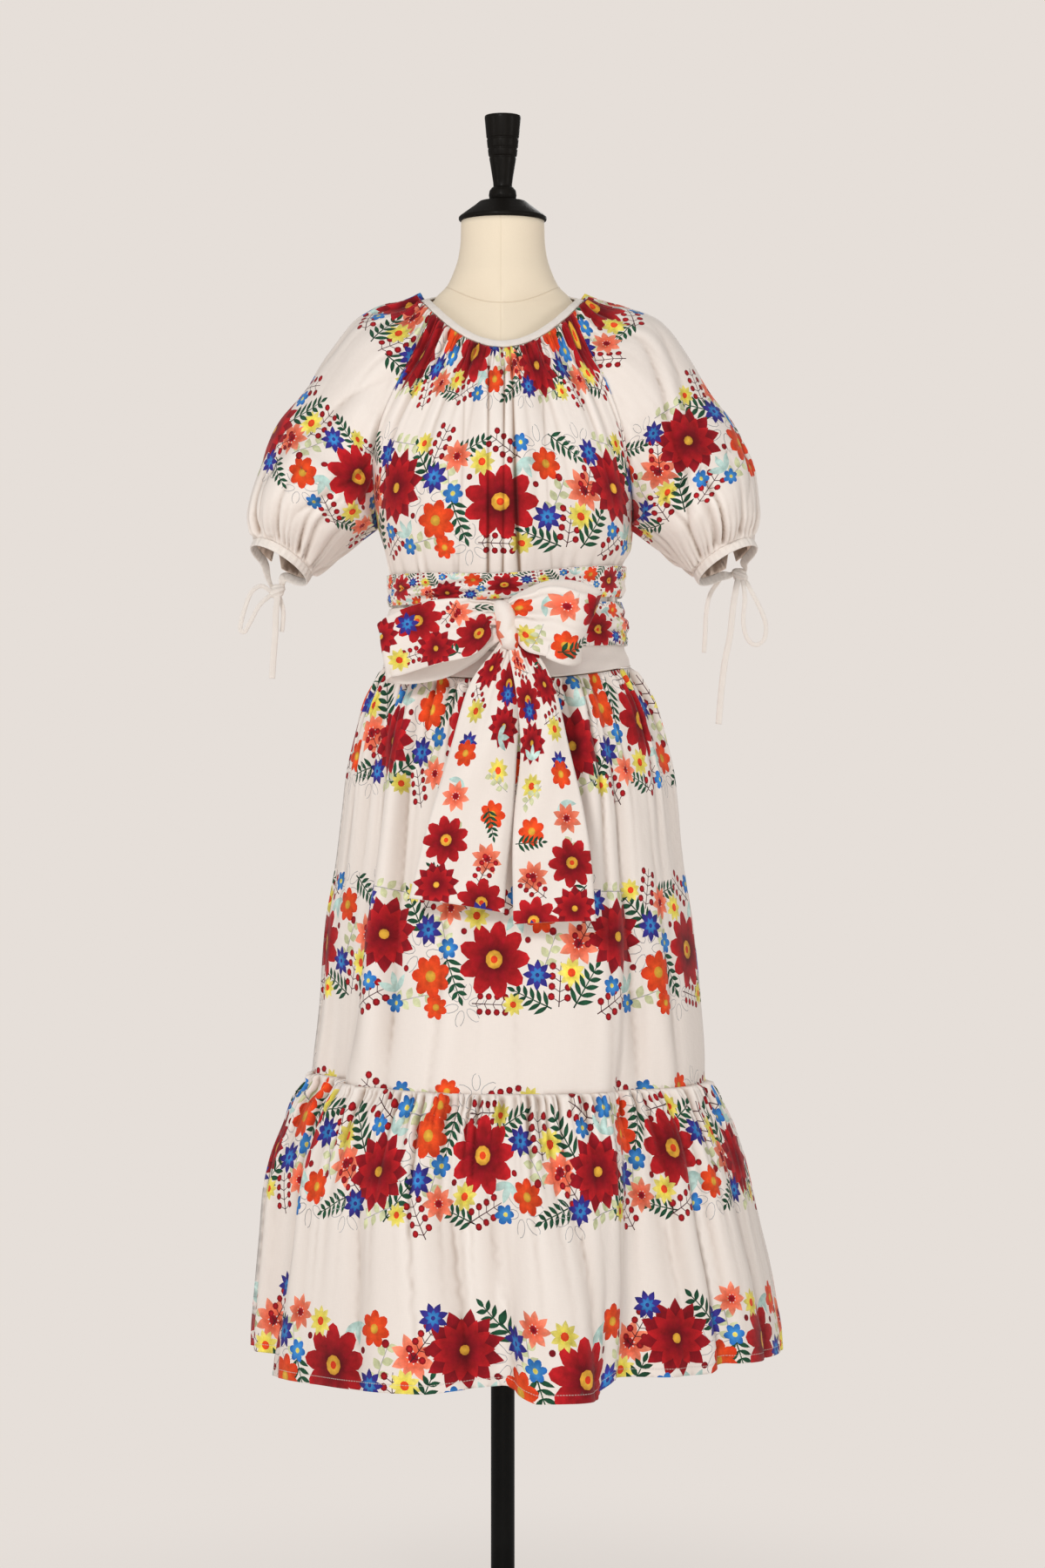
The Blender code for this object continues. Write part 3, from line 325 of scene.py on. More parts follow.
TIE_RIGHT_LONG = [
    (0.2630, 0.0330, 1.1855), (0.2585, 0.0300, 1.1610), (0.2545, 0.0280, 1.1260),
    (0.2485, 0.0270, 1.0955), (0.2445, 0.0265, 1.0610), (0.2418, 0.0265, 1.0270),
]
TIE_RIGHT_SHORT = [
    (0.2425, 0.0400, 1.1880), (0.2325, 0.0390, 1.1720), (0.2282, 0.0380, 1.1500),
    (0.2272, 0.0380, 1.1280), (0.2258, 0.0380, 1.1075),
]

# ------------------------------------------------------------ camera and room

PAPER = (0.791, 0.737, 0.694)


def add_camera():
    data = bpy.data.cameras.new("camera")
    data.sensor_fit = "VERTICAL"
    data.sensor_height = 36
    data.lens = 88.7
    data.clip_end = 60
    camera = bpy.data.objects.new("camera", data)
    camera.location = (0.022, -4.3, 0.960)
    camera.rotation_euler = (math.radians(90), 0, 0)
    bpy.context.scene.collection.objects.link(camera)
    bpy.context.scene.camera = camera


def add_light(name, place, aim, size, watts, colour):
    data = bpy.data.lights.new(name, "AREA")
    data.shape = "DISK"
    data.size = size
    data.energy = watts
    data.color = colour
    light = bpy.data.objects.new(name, data)
    light.location = place
    way = Vector(aim) - Vector(place)
    light.rotation_euler = way.to_track_quat("-Z", "Y").to_euler()
    bpy.context.scene.collection.objects.link(light)


# ------------------------------------------------------------------ materials


class Term:
    """A socket that takes part in arithmetic; each operation adds its node."""

    def __init__(self, finish, socket):
        self.finish = finish
        self.socket = socket

    def __add__(self, other):
        return self.finish.math("ADD", self, other)

    def __sub__(self, other):
        return self.finish.math("SUBTRACT", self, other)

    def __rsub__(self, other):
        return self.finish.math("SUBTRACT", other, self)

    def __mul__(self, other):
        return self.finish.math("MULTIPLY", self, other)

    def __truediv__(self, other):
        return self.finish.math("DIVIDE", self, other)

    def __pow__(self, other):
        return self.finish.math("POWER", self, other)

    def __lt__(self, other):
        return self.finish.math("LESS_THAN", self, other)

    def __gt__(self, other):
        return self.finish.math("GREATER_THAN", self, other)

    def __abs__(self):
        return self.finish.math("ABSOLUTE", self)

    __radd__ = __add__
    __rmul__ = __mul__


class Finish:
    """One material: its nodes come from node(), its arithmetic from Term."""

    def __init__(self, name, **constants):
        self.material = bpy.data.materials.new(name)
        self.material.use_nodes = True
        self.tree = self.material.node_tree
        self.surface = self.tree.nodes["Principled BSDF"]
        for socket, value in constants.items():
            self.surface.inputs[socket.replace("_", " ")].default_value = value

    def node(self, kind, settings=None, values=None, out=0):
        made = self.tree.nodes.new(kind)
        for key, value in (settings or {}).items():
            if key == "stops":
                self.stops(made, value)
            else:
                setattr(made, key, value)
        for key, value in (values or {}).items():
            self.feed(made.inputs[key], value)
        return Term(self, made.outputs[out])

    def stops(self, ramp, stops):
        marks = ramp.color_ramp.elements
        while len(marks) < len(stops):
            marks.new(0.5)
        for mark, (place, colour) in zip(marks, stops):
            mark.position = place
            mark.color = (*colour, 1)

    def feed(self, socket, value):
        if isinstance(value, Term):
            self.tree.links.new(value.socket, socket)
        else:
            socket.default_value = value

    def math(self, operation, a, b=0.0):
        return self.node("ShaderNodeMath", {"operation": operation}, {0: a, 1: b})

    def smooth(self, value, low, high):
        return self.node(
            "ShaderNodeMapRange",
            {"interpolation_type": "SMOOTHSTEP"},
            {"Value": value, "From Min": low, "From Max": high},
        )

    def mix(self, amount, a, b, blend="MIX"):
        settings = {"data_type": "RGBA", "blend_type": blend}
        return self.node("ShaderNodeMix", settings, {0: amount, 6: a, 7: b}, out=2)

    def noise(self, vector, scale, detail=2.0, rough=0.5):
        values = {"Vector": vector, "Scale": scale, "Detail": detail, "Roughness": rough}
        return self.node("ShaderNodeTexNoise", None, values)

    def stretch(self, vector, factors):
        return self.node(
            "ShaderNodeVectorMath", {"operation": "MULTIPLY"}, {0: vector, 1: factors}
        )

    def parts(self, vector):
        made = self.node("ShaderNodeSeparateXYZ", None, {0: vector}).socket.node
        return [Term(self, socket) for socket in made.outputs]

    def attribute(self, name, out="Color"):
        return self.node("ShaderNodeAttribute", {"attribute_name": name}, out=out)

    def place(self):
        return self.node("ShaderNodeTexCoord", out="Object")

    def cut(self):
        return self.node("ShaderNodeUVMap", {"uv_map": "cut"})

    def wear(self, **links):
        for socket, value in links.items():
            self.feed(self.surface.inputs[socket.replace("_", " ")], value)

    def bump(self, height, distance, strength=1.0):
        values = {"Height": height, "Distance": distance, "Strength": strength}
        self.wear(Normal=self.node("ShaderNodeBump", None, values))


def weave(finish, flat):
    """Fine plain weave with slubs along both threads, about 0 to 1."""
    warp = finish.noise(finish.stretch(flat, (1500, 90, 1)), 1.0, 1.0)
    weft = finish.noise(finish.stretch(flat, (90, 1500, 1)), 1.0, 1.0)
    return (warp + weft) * 0.5


def printed_cotton(name, stitch=None):
    """Cream poplin with the dress's print; stitch is a seam's height above the hem."""
    finish = Finish(name, Sheen_Weight=0.12, Sheen_Roughness=0.45, Specular_IOR_Level=0.25)
    flat = finish.cut()
    print_with_painted_shade = finish.attribute("print")
    threads = weave(finish, flat)
    blot = finish.noise(flat, 95.0, 4.0, 0.62)
    pool = finish.noise(flat, 38.0, 2.0, 0.5)
    dye = finish.attribute("dye", "Fac")
    # Dye pools unevenly, as in water colour; bare cloth stays even.
    wet = 1.0 + dye * ((blot - 0.5) * 1.35 + (pool - 0.5) * 0.8)
    slub = 0.955 + threads * 0.09
    tone = finish.node("ShaderNodeCombineXYZ", None, {0: wet * slub, 1: wet * slub, 2: wet * slub})
    colour = finish.node("ShaderNodeVectorMath", {"operation": "MULTIPLY"}, {0: print_with_painted_shade, 1: tone})
    height = threads * 0.00012
    if stitch is not None:
        across, up, _ = finish.parts(flat)
        thread = abs(up - stitch) < 0.00045
        dash = finish.math("FRACT", across / 0.0030) < 0.72
        row = thread * dash
        colour = finish.mix(row * 0.55, colour, (0.66, 0.60, 0.55, 1))
        groove = finish.smooth(abs(up - stitch), 0.0, 0.0016)
        height = height + groove * 0.0005
    crumple = finish.noise(flat, 42.0, 3.0, 0.55)
    height = height + crumple * 0.0011
    finish.wear(Base_Color=colour, Roughness=0.80 + threads * 0.12)
    finish.bump(height, 1.0)
    return finish.material


def cream_tape(name):
    finish = Finish(name, Sheen_Weight=0.15, Specular_IOR_Level=0.25)
    place = finish.place()
    fine = finish.noise(place, 1400.0, 2.0)
    soft = finish.noise(place, 130.0, 3.0)
    finish.wear(
        Base_Color=finish.mix(fine * 0.35 + soft * 0.3, (0.87, 0.82, 0.77, 1), (0.74, 0.68, 0.63, 1)),
        Roughness=0.78 + fine * 0.14,
    )
    finish.bump(fine * 0.0002 + soft * 0.0009, 1.0)
    return finish.material


def form_cover(name):
    """Cream jersey stretched over the form, with its two seams."""
    finish = Finish(name, Sheen_Weight=0.10, Specular_IOR_Level=0.3)
    place = finish.place()
    knit = finish.noise(finish.stretch(place, (1300, 1300, 500)), 1.0, 1.0)
    soft = finish.noise(place, 9.0, 2.0)
    centre = abs(finish.attribute("centre_seam", "Fac"))
    base = abs(finish.attribute("neck_seam", "Fac"))
    neck_line = 1.0 - finish.smooth(base, 0.0003, 0.0010)
    line = finish.math("MAXIMUM", neck_line, (1.0 - finish.smooth(centre, 0.0003, 0.0010)) * 0.55)
    cloth = finish.mix(soft, (0.90, 0.79, 0.62, 1), (0.84, 0.73, 0.57, 1))
    cloth = finish.mix(knit * 0.25, cloth, (0.76, 0.65, 0.50, 1))
    finish.wear(
        Base_Color=finish.mix(line * 0.26, cloth, (0.58, 0.42, 0.26, 1)),
        Roughness=0.72 + knit * 0.15,
    )
    finish.bump(knit * 0.0001 - line * 0.0003, 1.0)
    return finish.material


def black_wood(name):
    finish = Finish(name, Coat_Roughness=0.25, Specular_IOR_Level=0.07)
    place = finish.place()
    grain = finish.noise(finish.stretch(place, (420, 420, 30)), 1.0, 3.0, 0.6)
    worn = finish.noise(place, 60.0, 3.0)
    finish.wear(
        Base_Color=finish.mix(grain, (0.004, 0.0035, 0.003, 1), (0.012, 0.010, 0.008, 1)),
        Roughness=0.42 + worn * 0.20,
        Coat_Weight=0.02 + grain * 0.05,
    )
    finish.bump(grain * 0.00025, 1.0)
    return finish.material


def black_metal(name):
    finish = Finish(name, Specular_IOR_Level=0.14)
    place = finish.place()
    orange_peel = finish.noise(place, 900.0, 2.0)
    worn = finish.noise(place, 40.0, 3.0)
    finish.wear(
        Base_Color=finish.mix(worn, (0.004, 0.004, 0.004, 1), (0.009, 0.009, 0.008, 1)),
        Roughness=0.36 + worn * 0.16,
    )
    finish.bump(orange_peel * 0.00015, 1.0)
    return finish.material


# ------------------------------------------------------------------ the print


def rgb(red, green, blue):
    """Linear colour from the usual 0 to 255 values."""
    parts = np.array([red, green, blue]) / 255
    return np.where(parts <= 0.04045, parts / 12.92, ((parts + 0.055) / 1.055) ** 2.4)


CREAM = rgb(239, 230, 223)
# Inner sides of single cloth: cream with painted warm light, for light bounced and shone through inside the
# dress.
INSIDE_PAINTED_WARM_LIGHT = rgb(246, 226, 210)
INK = rgb(72, 24, 34)
PENCIL = rgb(168, 166, 168)
WINE = (rgb(78, 2, 14), rgb(172, 16, 32))
SCARLET = (rgb(200, 26, 34), rgb(116, 6, 20))
ORANGE = (rgb(240, 88, 32), rgb(222, 58, 24))
CORAL = (rgb(246, 150, 120), rgb(232, 84, 52))
LEAF = (rgb(34, 88, 60), rgb(14, 54, 36))
COBALT = (rgb(66, 58, 158), rgb(42, 36, 124))
SKY = (rgb(70, 150, 215), rgb(30, 98, 182))
LEMON = (rgb(232, 214, 66), rgb(228, 216, 124))
GOLD = (rgb(240, 196, 70), rgb(214, 150, 50))
OLIVE = (rgb(214, 216, 176), rgb(200, 206, 160))
AQUA = (rgb(200, 224, 218), rgb(176, 212, 206))


def oval(x, y, rx, ry, turn=0.0, count=14):
    a = np.linspace(0, 2 * math.pi, count, endpoint=False)
    return spun(np.stack([rx * np.cos(a), ry * np.sin(a)], -1), turn) + (x, y)


def leaf(x, y, long, wide, turn, full=1.0, count=8):
    """Pointed leaf from its stalk end at x, y."""
    t = np.linspace(0, 1, count + 1)
    half = wide / 2 * np.sin(math.pi * t ** full)
    side = np.stack([long * t, half], -1)
    other = np.stack([long * t[1:-1], -half[1:-1]], -1)[::-1]
    return spun(np.concatenate([side, other]), turn) + (x, y)


def stroke(points, wide, end=None):
    """Ribbon of ink along points, from wide to end across."""
    p = np.array(points, float)
    way = np.gradient(p, axis=0)
    way /= np.linalg.norm(way, axis=1, keepdims=True)
    half = np.linspace(wide, wide if end is None else end, len(p))[:, None] / 2
    off = np.stack([-way[:, 1], way[:, 0]], -1) * half
    return np.concatenate([p + off, (p - off)[::-1]])


def spun(points, degrees):
    c, s = math.cos(math.radians(degrees)), math.sin(math.radians(degrees))
    return points @ np.array([[c, s], [-s, c]])


# Each motif fills a circle of radius 1 and yields outlines with their colours.


def polar(turn, far):
    return far * math.cos(math.radians(turn)), far * math.sin(math.radians(turn))


def petals(count, far, long, wide, shades, turn=0.0, pointed=True):
    """A ring of equal petals, each coloured from its foot to its tip."""
    for k in range(count):
        angle = turn + 360 * k / count
        x, y = polar(angle, far)
        if pointed:
            outline = leaf(x, y, long, wide, angle, 0.85, 5)
        else:
            outline = oval(*polar(angle, far + long / 2), long / 2, wide / 2, angle, 10)
        yield outline, *shades, (x, y)


def disc(r, shades):
    yield oval(0, 0, r, r, 0, 10), *shades


def dahlia():
    """Big red flower of many pointed petals."""
    yield from petals(11, 0.30, 0.70, 0.41, WINE)
    yield from petals(11, 0.16, 0.62, 0.32, SCARLET[::-1], 16)
    yield from petals(7, 0.06, 0.44, 0.27, WINE, 8)
    yield from disc(0.13, GOLD)


def red_daisy():
    """Big red flower of round-ended petals and a wide gold middle."""
    yield from petals(9, 0.14, 0.86, 0.49, (WINE[0], SCARLET[0]), 0, False)
    yield from petals(9, 0.16, 0.46, 0.16, WINE, 20)
    yield from disc(0.24, GOLD)
    yield from disc(0.10, ORANGE)


def sun_daisy():
    yield from petals(9, 0.18, 0.82, 0.44, LEMON)
    yield from disc(0.28, ORANGE)


def orange_daisy():
    yield from petals(7, 0.12, 0.88, 0.62, ORANGE, 0, False)
    yield from disc(0.26, GOLD)


def coral_daisy():
    yield from petals(8, 0.16, 0.84, 0.46, CORAL[::-1])
    yield from disc(0.22, WINE)


def cornflower():
    yield from petals(8, 0.14, 0.86, 0.46, COBALT)
    yield from petals(8, 0.05, 0.48, 0.24, SKY, 22)
    yield from disc(0.14, COBALT)


def forget_me_not():
    yield from petals(6, 0.10, 0.84, 0.62, SKY, 0, False)
    yield from disc(0.22, LEMON)


def fern():
    """A straight stalk with pairs of narrow leaves."""
    yield stroke([(0, -1.0), (0, 0), (0, 0.75)], 0.06, 0.03), *LEAF
    for k in range(5):
        y = 0.31 * k - 0.82
        for turn in (38, 142):
            yield leaf(0, y, 0.64 - 0.06 * k, 0.18, turn, 0.9, 5), *LEAF
    yield leaf(0, 0.60, 0.40, 0.17, 90, 0.9, 5), *LEAF


def olive_sprig():
    """A straight stalk with round leaves on alternate sides."""
    yield stroke([(0, -1.0), (0, 0), (0, 0.8)], 0.05, 0.03), PENCIL, PENCIL
    for k in range(6):
        yield leaf(0, 0.28 * k - 0.85, 0.52, 0.34, (35, 145)[k % 2], 0.9, 6), *OLIVE


def berry_sprig():
    """A straight stalk with a row of round berries each side."""
    yield stroke([(0, -1.0), (0, 0), (0, 0.85)], 0.05, 0.03), INK, INK
    for k in range(4):
        y = 0.42 * k - 0.60
        for x in (-0.36, 0.36):
            yield stroke([(0, y - 0.20), (x, y)], 0.035), INK, INK
            yield oval(x, y, 0.16, 0.16, 0, 8), *SCARLET


def aqua_fan():
    """Three broad pale leaves side by side."""
    for turn in (40, 90, 140):
        yield leaf(0, -0.5, 1.25, 0.46, turn, 1.0, 8), *AQUA


def fine_daisy():
    """Pencil outline of a flower."""
    for turn in range(0, 360, 60):
        yield stroke(oval(*polar(turn, 0.6), 0.36, 0.18, turn, 10), 0.03), PENCIL, PENCIL


def dot():
    yield from disc(0.9, SCARLET)


# One repeat of a band: 290 mm along and about 150 mm high. Sizes are radii.
REPEAT = 290
BAND = [
    # motif, along, down, size, turn (mm and degrees)
    (fine_daisy, 98, -8, 30, 0),
    (fine_daisy, 236, 60, 27, 20),
    (fine_daisy, 152, -72, 25, 40),
    (fine_daisy, 6, 66, 24, 10),
    (fern, 84, 44, 31, -40),
    (fern, 4, -46, 31, 30),
    (fern, 140, -42, 29, 160),
    (fern, 226, -62, 28, -70),
    (fern, 274, 60, 27, 120),
    (fern, 152, 62, 26, 70),
    (olive_sprig, 92, -66, 27, 80),
    (olive_sprig, 124, 22, 26, -10),
    (olive_sprig, 252, -4, 26, 24),
    (olive_sprig, 52, 66, 24, 100),
    (berry_sprig, 36, -70, 26, 60),
    (berry_sprig, 108, 68, 24, 20),
    (berry_sprig, 190, 62, 25, -60),
    (berry_sprig, 262, -44, 26, 10),
    (berry_sprig, 8, 22, 24, 40),
    (berry_sprig, 184, -70, 23, 100),
    (aqua_fan, 64, -50, 18, -20),
    (aqua_fan, 216, 34, 19, 160),
    (dahlia, 48, 10, 42, 0),
    (red_daisy, 186, -14, 42, 10),
    (orange_daisy, 112, -38, 24, 0),
    (coral_daisy, 286, 4, 25, 20),
    (orange_daisy, 242, 38, 19, 40),
    (coral_daisy, 132, 48, 19, 0),
    (cornflower, 106, 20, 18, 10),
    (cornflower, 236, -34, 17, 0),
    (cornflower, 18, 54, 16, 30),
    (sun_daisy, 276, -32, 17, 0),
    (sun_daisy, 164, 40, 16, 15),
    (sun_daisy, 82, 66, 13, 0),
    (forget_me_not, 132, -2, 13, 0),
    (forget_me_not, 34, -50, 12, 30),
    (forget_me_not, 212, 66, 12, 0),
    (sun_daisy, 208, -70, 13, 30),
    (forget_me_not, 68, -74, 12, 0),
    (orange_daisy, 120, -76, 14, 0),
    (dot, 80, -30, 4, 0),
    (dot, 256, 20, 5, 0),
    (dot, 150, 20, 4, 0),
    (dot, 226, 10, 4, 0),
]
# Motifs down the sash's strips, in turn, and how big.
TRAIL = [
    (dahlia, 0.025), (fern, 0.019), (orange_daisy, 0.016), (cornflower, 0.014),
    (red_daisy, 0.027), (olive_sprig, 0.018), (sun_daisy, 0.015), (berry_sprig, 0.019),
    (coral_daisy, 0.018), (aqua_fan, 0.015),
]


class Print:
    """The outlines printed on one panel, in metres on its flat cut."""

    def __init__(self, seed):
        self.shapes = []
        self.random = random.Random(seed)

    def stamp(self, motif, x, y, size, turn=0.0, flip=1):
        tone = self.random.uniform(0.86, 1.08)
        for points, inner, outer, *foot in motif():
            points = np.vstack([points, foot or points.mean(0)]) * (flip, -1)
            *points, centre = spun(points, -turn) * size + (x, y)
            points = np.array(points)
            reach = np.linalg.norm(points - centre, axis=1).max()
            self.shapes.append((points, inner * tone, outer * tone, centre, reach))

    def band(self, first, last, middle, shift, flip=1, high=1.0, size=1.0, low=-90, top=90):
        """A band of motifs between two places across, around a height down."""
        repeat = REPEAT / 1000 * size
        start = math.floor((first - shift) / repeat) - 1
        while shift + start * repeat < last + 0.05:
            for motif, along, down, radius, turn in BAND:
                if not low <= down * flip <= top:
                    continue
                wobble = self.random.uniform(-1, 1)
                x = shift + (start + along / REPEAT) * repeat
                y = middle + flip * down / 1000 * high
                if first - 0.05 < x < last + 0.05:
                    self.stamp(motif, x, y, radius / 1000 * size, turn * flip + 9 * wobble, flip)
            start += 1


def trail(seed, wide, gap=0.024, reach=0.34):
    """Motifs in a zigzag down a strip of the sash."""
    print_ = Print(seed)
    for k in range(int(reach / gap)):
        for part, side in ((0, (-1) ** k), (4, -((-1) ** k))):
            motif, size = TRAIL[(seed + 3 * k + part) % len(TRAIL)]
            down = gap * (k + 0.5 + part / 8)
            print_.stamp(motif, 0.25 * side * wide, down, size, 70 * k + 20 * part)
    return print_.shapes


def signed_area(p):
    q = np.roll(p, -1, 0)
    return 0.5 * np.sum(p[:, 0] * q[:, 1] - q[:, 0] * p[:, 1])


# --------------------------------------------------------- the dress's surface


def columns(rows):
    return [np.array(c, float) for c in zip(*sorted(rows))]


def curve(t, ts, ys):
    """Smooth, non-overshooting value at t of a column ys given at ts."""
    t = np.clip(np.asarray(t, float), ts[0], ts[-1])
    h = np.diff(ts)
    d = np.diff(ys) / h
    m = np.empty(len(ts))
    m[0], m[-1] = d[0], d[-1]
    same = d[:-1] * d[1:] > 0
    both = np.where(same, d[:-1] + d[1:], 1.0)
    m[1:-1] = np.where(same, 2 * d[:-1] * d[1:] / both, 0.0)
    i = np.clip(np.searchsorted(ts, t, side="right") - 1, 0, len(ts) - 2)
    s = (t - ts[i]) / h[i]
    a = (1 + 2 * s) * (1 - s) ** 2
    b = s * (1 - s) ** 2
    c = s * s * (3 - 2 * s)
    e = s * s * (s - 1)
    return a * ys[i] + b * h[i] * m[i] + c * ys[i + 1] + e * h[i] * m[i + 1]


BODY_C = columns(BODY)
FRONT_C = columns(FRONT)
BACK_C = columns(BACK)
SLEEVE_C = columns(SLEEVE)
FORM_C = columns(FORM)
HEM_C = columns(HEM)


def unit(v):
    return v / np.maximum(np.linalg.norm(v, axis=-1, keepdims=True), 1e-12)


def step(value, low, high):
    """0 below low, 1 above high, smooth between."""
    t = np.clip((value - low) / (high - low), 0, 1)
    return t * t * (3 - 2 * t)


def body_ring(phi, z, out=0.0):
    """Point of the dress at angle phi from the front and height z, moved out."""
    zs, left, right, front, back = BODY_C
    s, c = np.sin(phi), np.cos(phi)
    half = np.where(s < 0, curve(z, zs, left), curve(z, zs, right))
    deep = np.where(c > 0, curve(z, zs, front), curve(z, zs, back))
    normal = unit(np.stack([deep * s, -half * c, np.zeros_like(s)], -1))
    flat = np.stack([half * s, -deep * c, z + 0 * s], -1)
    return flat + normal * np.asarray(out)[..., None], normal


def fold_shift(phi, z):
    """Stand-out and sideways shift of the deep folds at angle phi, height z."""
    out = np.zeros_like(phi)
    side = np.zeros_like(phi)
    for l0, l1, r0, r1, soft_l, soft_r, tall, pinch, start in FOLDS:
        drop = np.clip((start - z) / (start - HEM_Z), 0, 1.1)
        size = tall * drop ** 0.9
        low = np.clip((SEAM_Z - z) / (SEAM_Z - HEM_Z), -1.2, 1.0)
        middle = np.radians((l0 + r0) / 2 + ((l1 + r1) - (l0 + r0)) / 2 * low)
        half = np.radians((r0 - l0) / 2 + ((r1 - l1) - (r0 - l0)) / 2 * low)
        turn = (phi - middle + math.pi) % (2 * math.pi) - math.pi
        into = np.clip((turn + half) / math.radians(soft_l) + 0.5, 0, 1)
        out_of = np.clip((half - turn) / math.radians(soft_r) + 0.5, 0, 1)
        out += size * into * into * (3 - 2 * into) * out_of * out_of * (3 - 2 * out_of)
        side += size * pinch * (np.sin(math.pi * out_of) - np.sin(math.pi * into))
    return out, side


def skirt_ring(phi, z):
    flat, normal = body_ring(phi, z)
    tall, side = fold_shift(phi, z)
    across = np.stack([-normal[..., 1], normal[..., 0], 0 * phi], -1)
    return flat + normal * tall[..., None] + across * side[..., None]


def band_low(phi):
    c = np.clip(np.cos(phi), 0, 1)
    return BAND_Z - BAND_SAG * c * c


def seam_z(phi):
    return SEAM_Z + SEAM_RISE_LEFT * np.clip(-np.sin(phi), 0, 1) ** 2


def hem_z(phi):
    angles, rises = HEM_C
    turn = (np.degrees(phi) + 180) % 360 - 180
    drop = HEM_DROP * np.clip(np.cos(phi), 0, 1) ** 2
    return HEM_Z - drop + np.interp(turn, angles, rises)


def neck(phi):
    """Point of the neckline at angle phi from the front."""
    c = np.cos(phi)
    y = np.where(c > 0, -NECK_FRONT * c, -NECK_BACK * c)
    z = NECK_SIDE_Z - np.where(c > 0, NECK_FRONT_DROP * c * c, NECK_BACK_RISE * c)
    return np.stack([NECK_HALF * np.sin(phi), y, z], -1)


def neck_inward(phi):
    """Direction along the chest from the neckline up towards the neck."""
    c, s = np.cos(phi), np.sin(phi)
    return unit(np.stack([-s, 0.55 * c, 0.10 + 0.74 * c * c], -1))


def bodice_rows(cols, u, row, front):
    """Point of a bodice panel above the armpits, u from -1 to 1 across it."""
    rows, cz, cy, ez, left, right, ey, open_deg = cols
    wide = np.radians(curve(row, rows, open_deg))
    phi = u * wide
    edge_x = np.where(u < 0, curve(row, rows, left), curve(row, rows, right))
    part = (1 - np.cos(phi)) / (1 - np.cos(wide))
    x = edge_x * np.sin(phi) / np.sin(wide)
    y0, y1 = curve(row, rows, cy), curve(row, rows, ey)
    z0, z1 = curve(row, rows, cz), curve(row, rows, ez)
    # The neckline dips to its middle as a parabola, the rows below it as a cosine.
    bowl = np.clip(1 - row, 0, 1) ** 2 if front else 0 * row
    part_z = part * (1 - bowl) + (1 - np.cos(phi) ** 2) / (1 - np.cos(wide) ** 2) * bowl
    sign = -1 if front else 1
    return np.stack([x, sign * (y0 + (y1 - y0) * part), z0 + (z1 - z0) * part_z], -1)


def bodice_panel(u, v, front):
    """u from -1 to 1 across, v 0 at the neckline, 1 at the armpits, 2 at the waistband."""
    cols = FRONT_C if front else BACK_C
    upper = bodice_rows(cols, u, np.clip(v, 0, 1) * 6, front)
    phi = u * math.pi / 2 if front else math.pi - u * math.pi / 2
    low = band_low(phi) + BAND_HIGH + SEAM
    z = ARMPIT_Z + (low - ARMPIT_Z) * np.clip(v - 1, 0, 1)
    lower, _ = body_ring(phi, z)
    return np.where((v <= 1)[..., None], upper, lower)


def raglan(row, side, front):
    """Point of the raglan seam of one side at a row."""
    rows, _, _, ez, left, right, ey, _ = FRONT_C if front else BACK_C
    x = curve(row, rows, left if side < 0 else right)
    y = curve(row, rows, ey) * (-1 if front else 1)
    return np.stack([side * x, y, curve(row, rows, ez)], -1)


def sleeve_panel(side, t, row, gap=0.0):
    """t goes round from the front seam over the top to the back seam."""
    rows, left, right, top_z, low_x, low_z, deep, closed = SLEEVE_C
    start = raglan(np.clip(row, 0, 6), side, True)
    end = raglan(np.clip(row, 0, 6), side, False)
    below = np.clip(row, 6, 9)
    tube_rows = rows[6:]
    low = np.stack(
        [side * curve(below, tube_rows, low_x[6:]), 0 * t, curve(below, tube_rows, low_z[6:])], -1
    )
    is_tube = (row > 6)[..., None]
    start = np.where(is_tube, low, start)
    end = np.where(is_tube, low, end)
    middle, half = (start + end) / 2, (end - start) / 2
    top_x = curve(row, rows, left if side < 0 else right)
    top = np.stack([side * top_x, 0 * t, curve(row, rows, top_z)], -1)
    rise = top - middle
    rise[..., 1] = 0
    tube = np.clip(curve(row, rows, closed), 0, 1)[..., None]
    tilt = CUFF_TILT * np.clip((row - 6.5) / 2.5, 0, 1)
    back = np.stack([0 * t, np.cos(tilt), -np.sin(tilt)], -1)
    a = (math.pi * t)[..., None]
    arch = middle - half * np.cos(a) + rise * (1 - tube) * np.sin(a)
    arch = arch + rise * tube * (1 - np.cos(2 * a)) / 2
    arch = arch - back * curve(row, rows, deep)[..., None] * np.sin(2 * a) * tube
    # The top rows run along the neckline itself.
    front_phi, back_phi = math.radians(RAGLAN_AT), math.radians(180 - RAGLAN_AT)
    ring = neck(side * (front_phi + (back_phi - front_phi) * t))
    near = np.clip(1 - row / 1.5, 0, 1)[..., None] ** 2
    point = arch * (1 - near) + ring * near
    # Leave the seam gap beside the bodice.
    edge = np.clip(1 - np.minimum(t, 1 - t) / 0.05, 0, 1) * np.clip((6.4 - row) / 0.4, 0, 1)
    point[..., 0] += side * gap * edge
    return point


def cuff_frame(side):
    """Centre of the cuff's top edge, its long and deep axes and the way down."""
    _, left, right, top_z, low_x, low_z, deep, _ = SLEEVE_C
    outer = np.array([side * (left if side < 0 else right)[-1], 0, top_z[-1]])
    inner = np.array([side * low_x[-1], 0, low_z[-1]])
    long = (outer - inner) / 2
    back = np.array([0, math.cos(CUFF_TILT), -math.sin(CUFF_TILT)]) * deep[-1]
    down = np.cross(long, back)
    down /= np.linalg.norm(down)
    if down[2] > 0:
        down = -down
    return (outer + inner) / 2, long, back, down


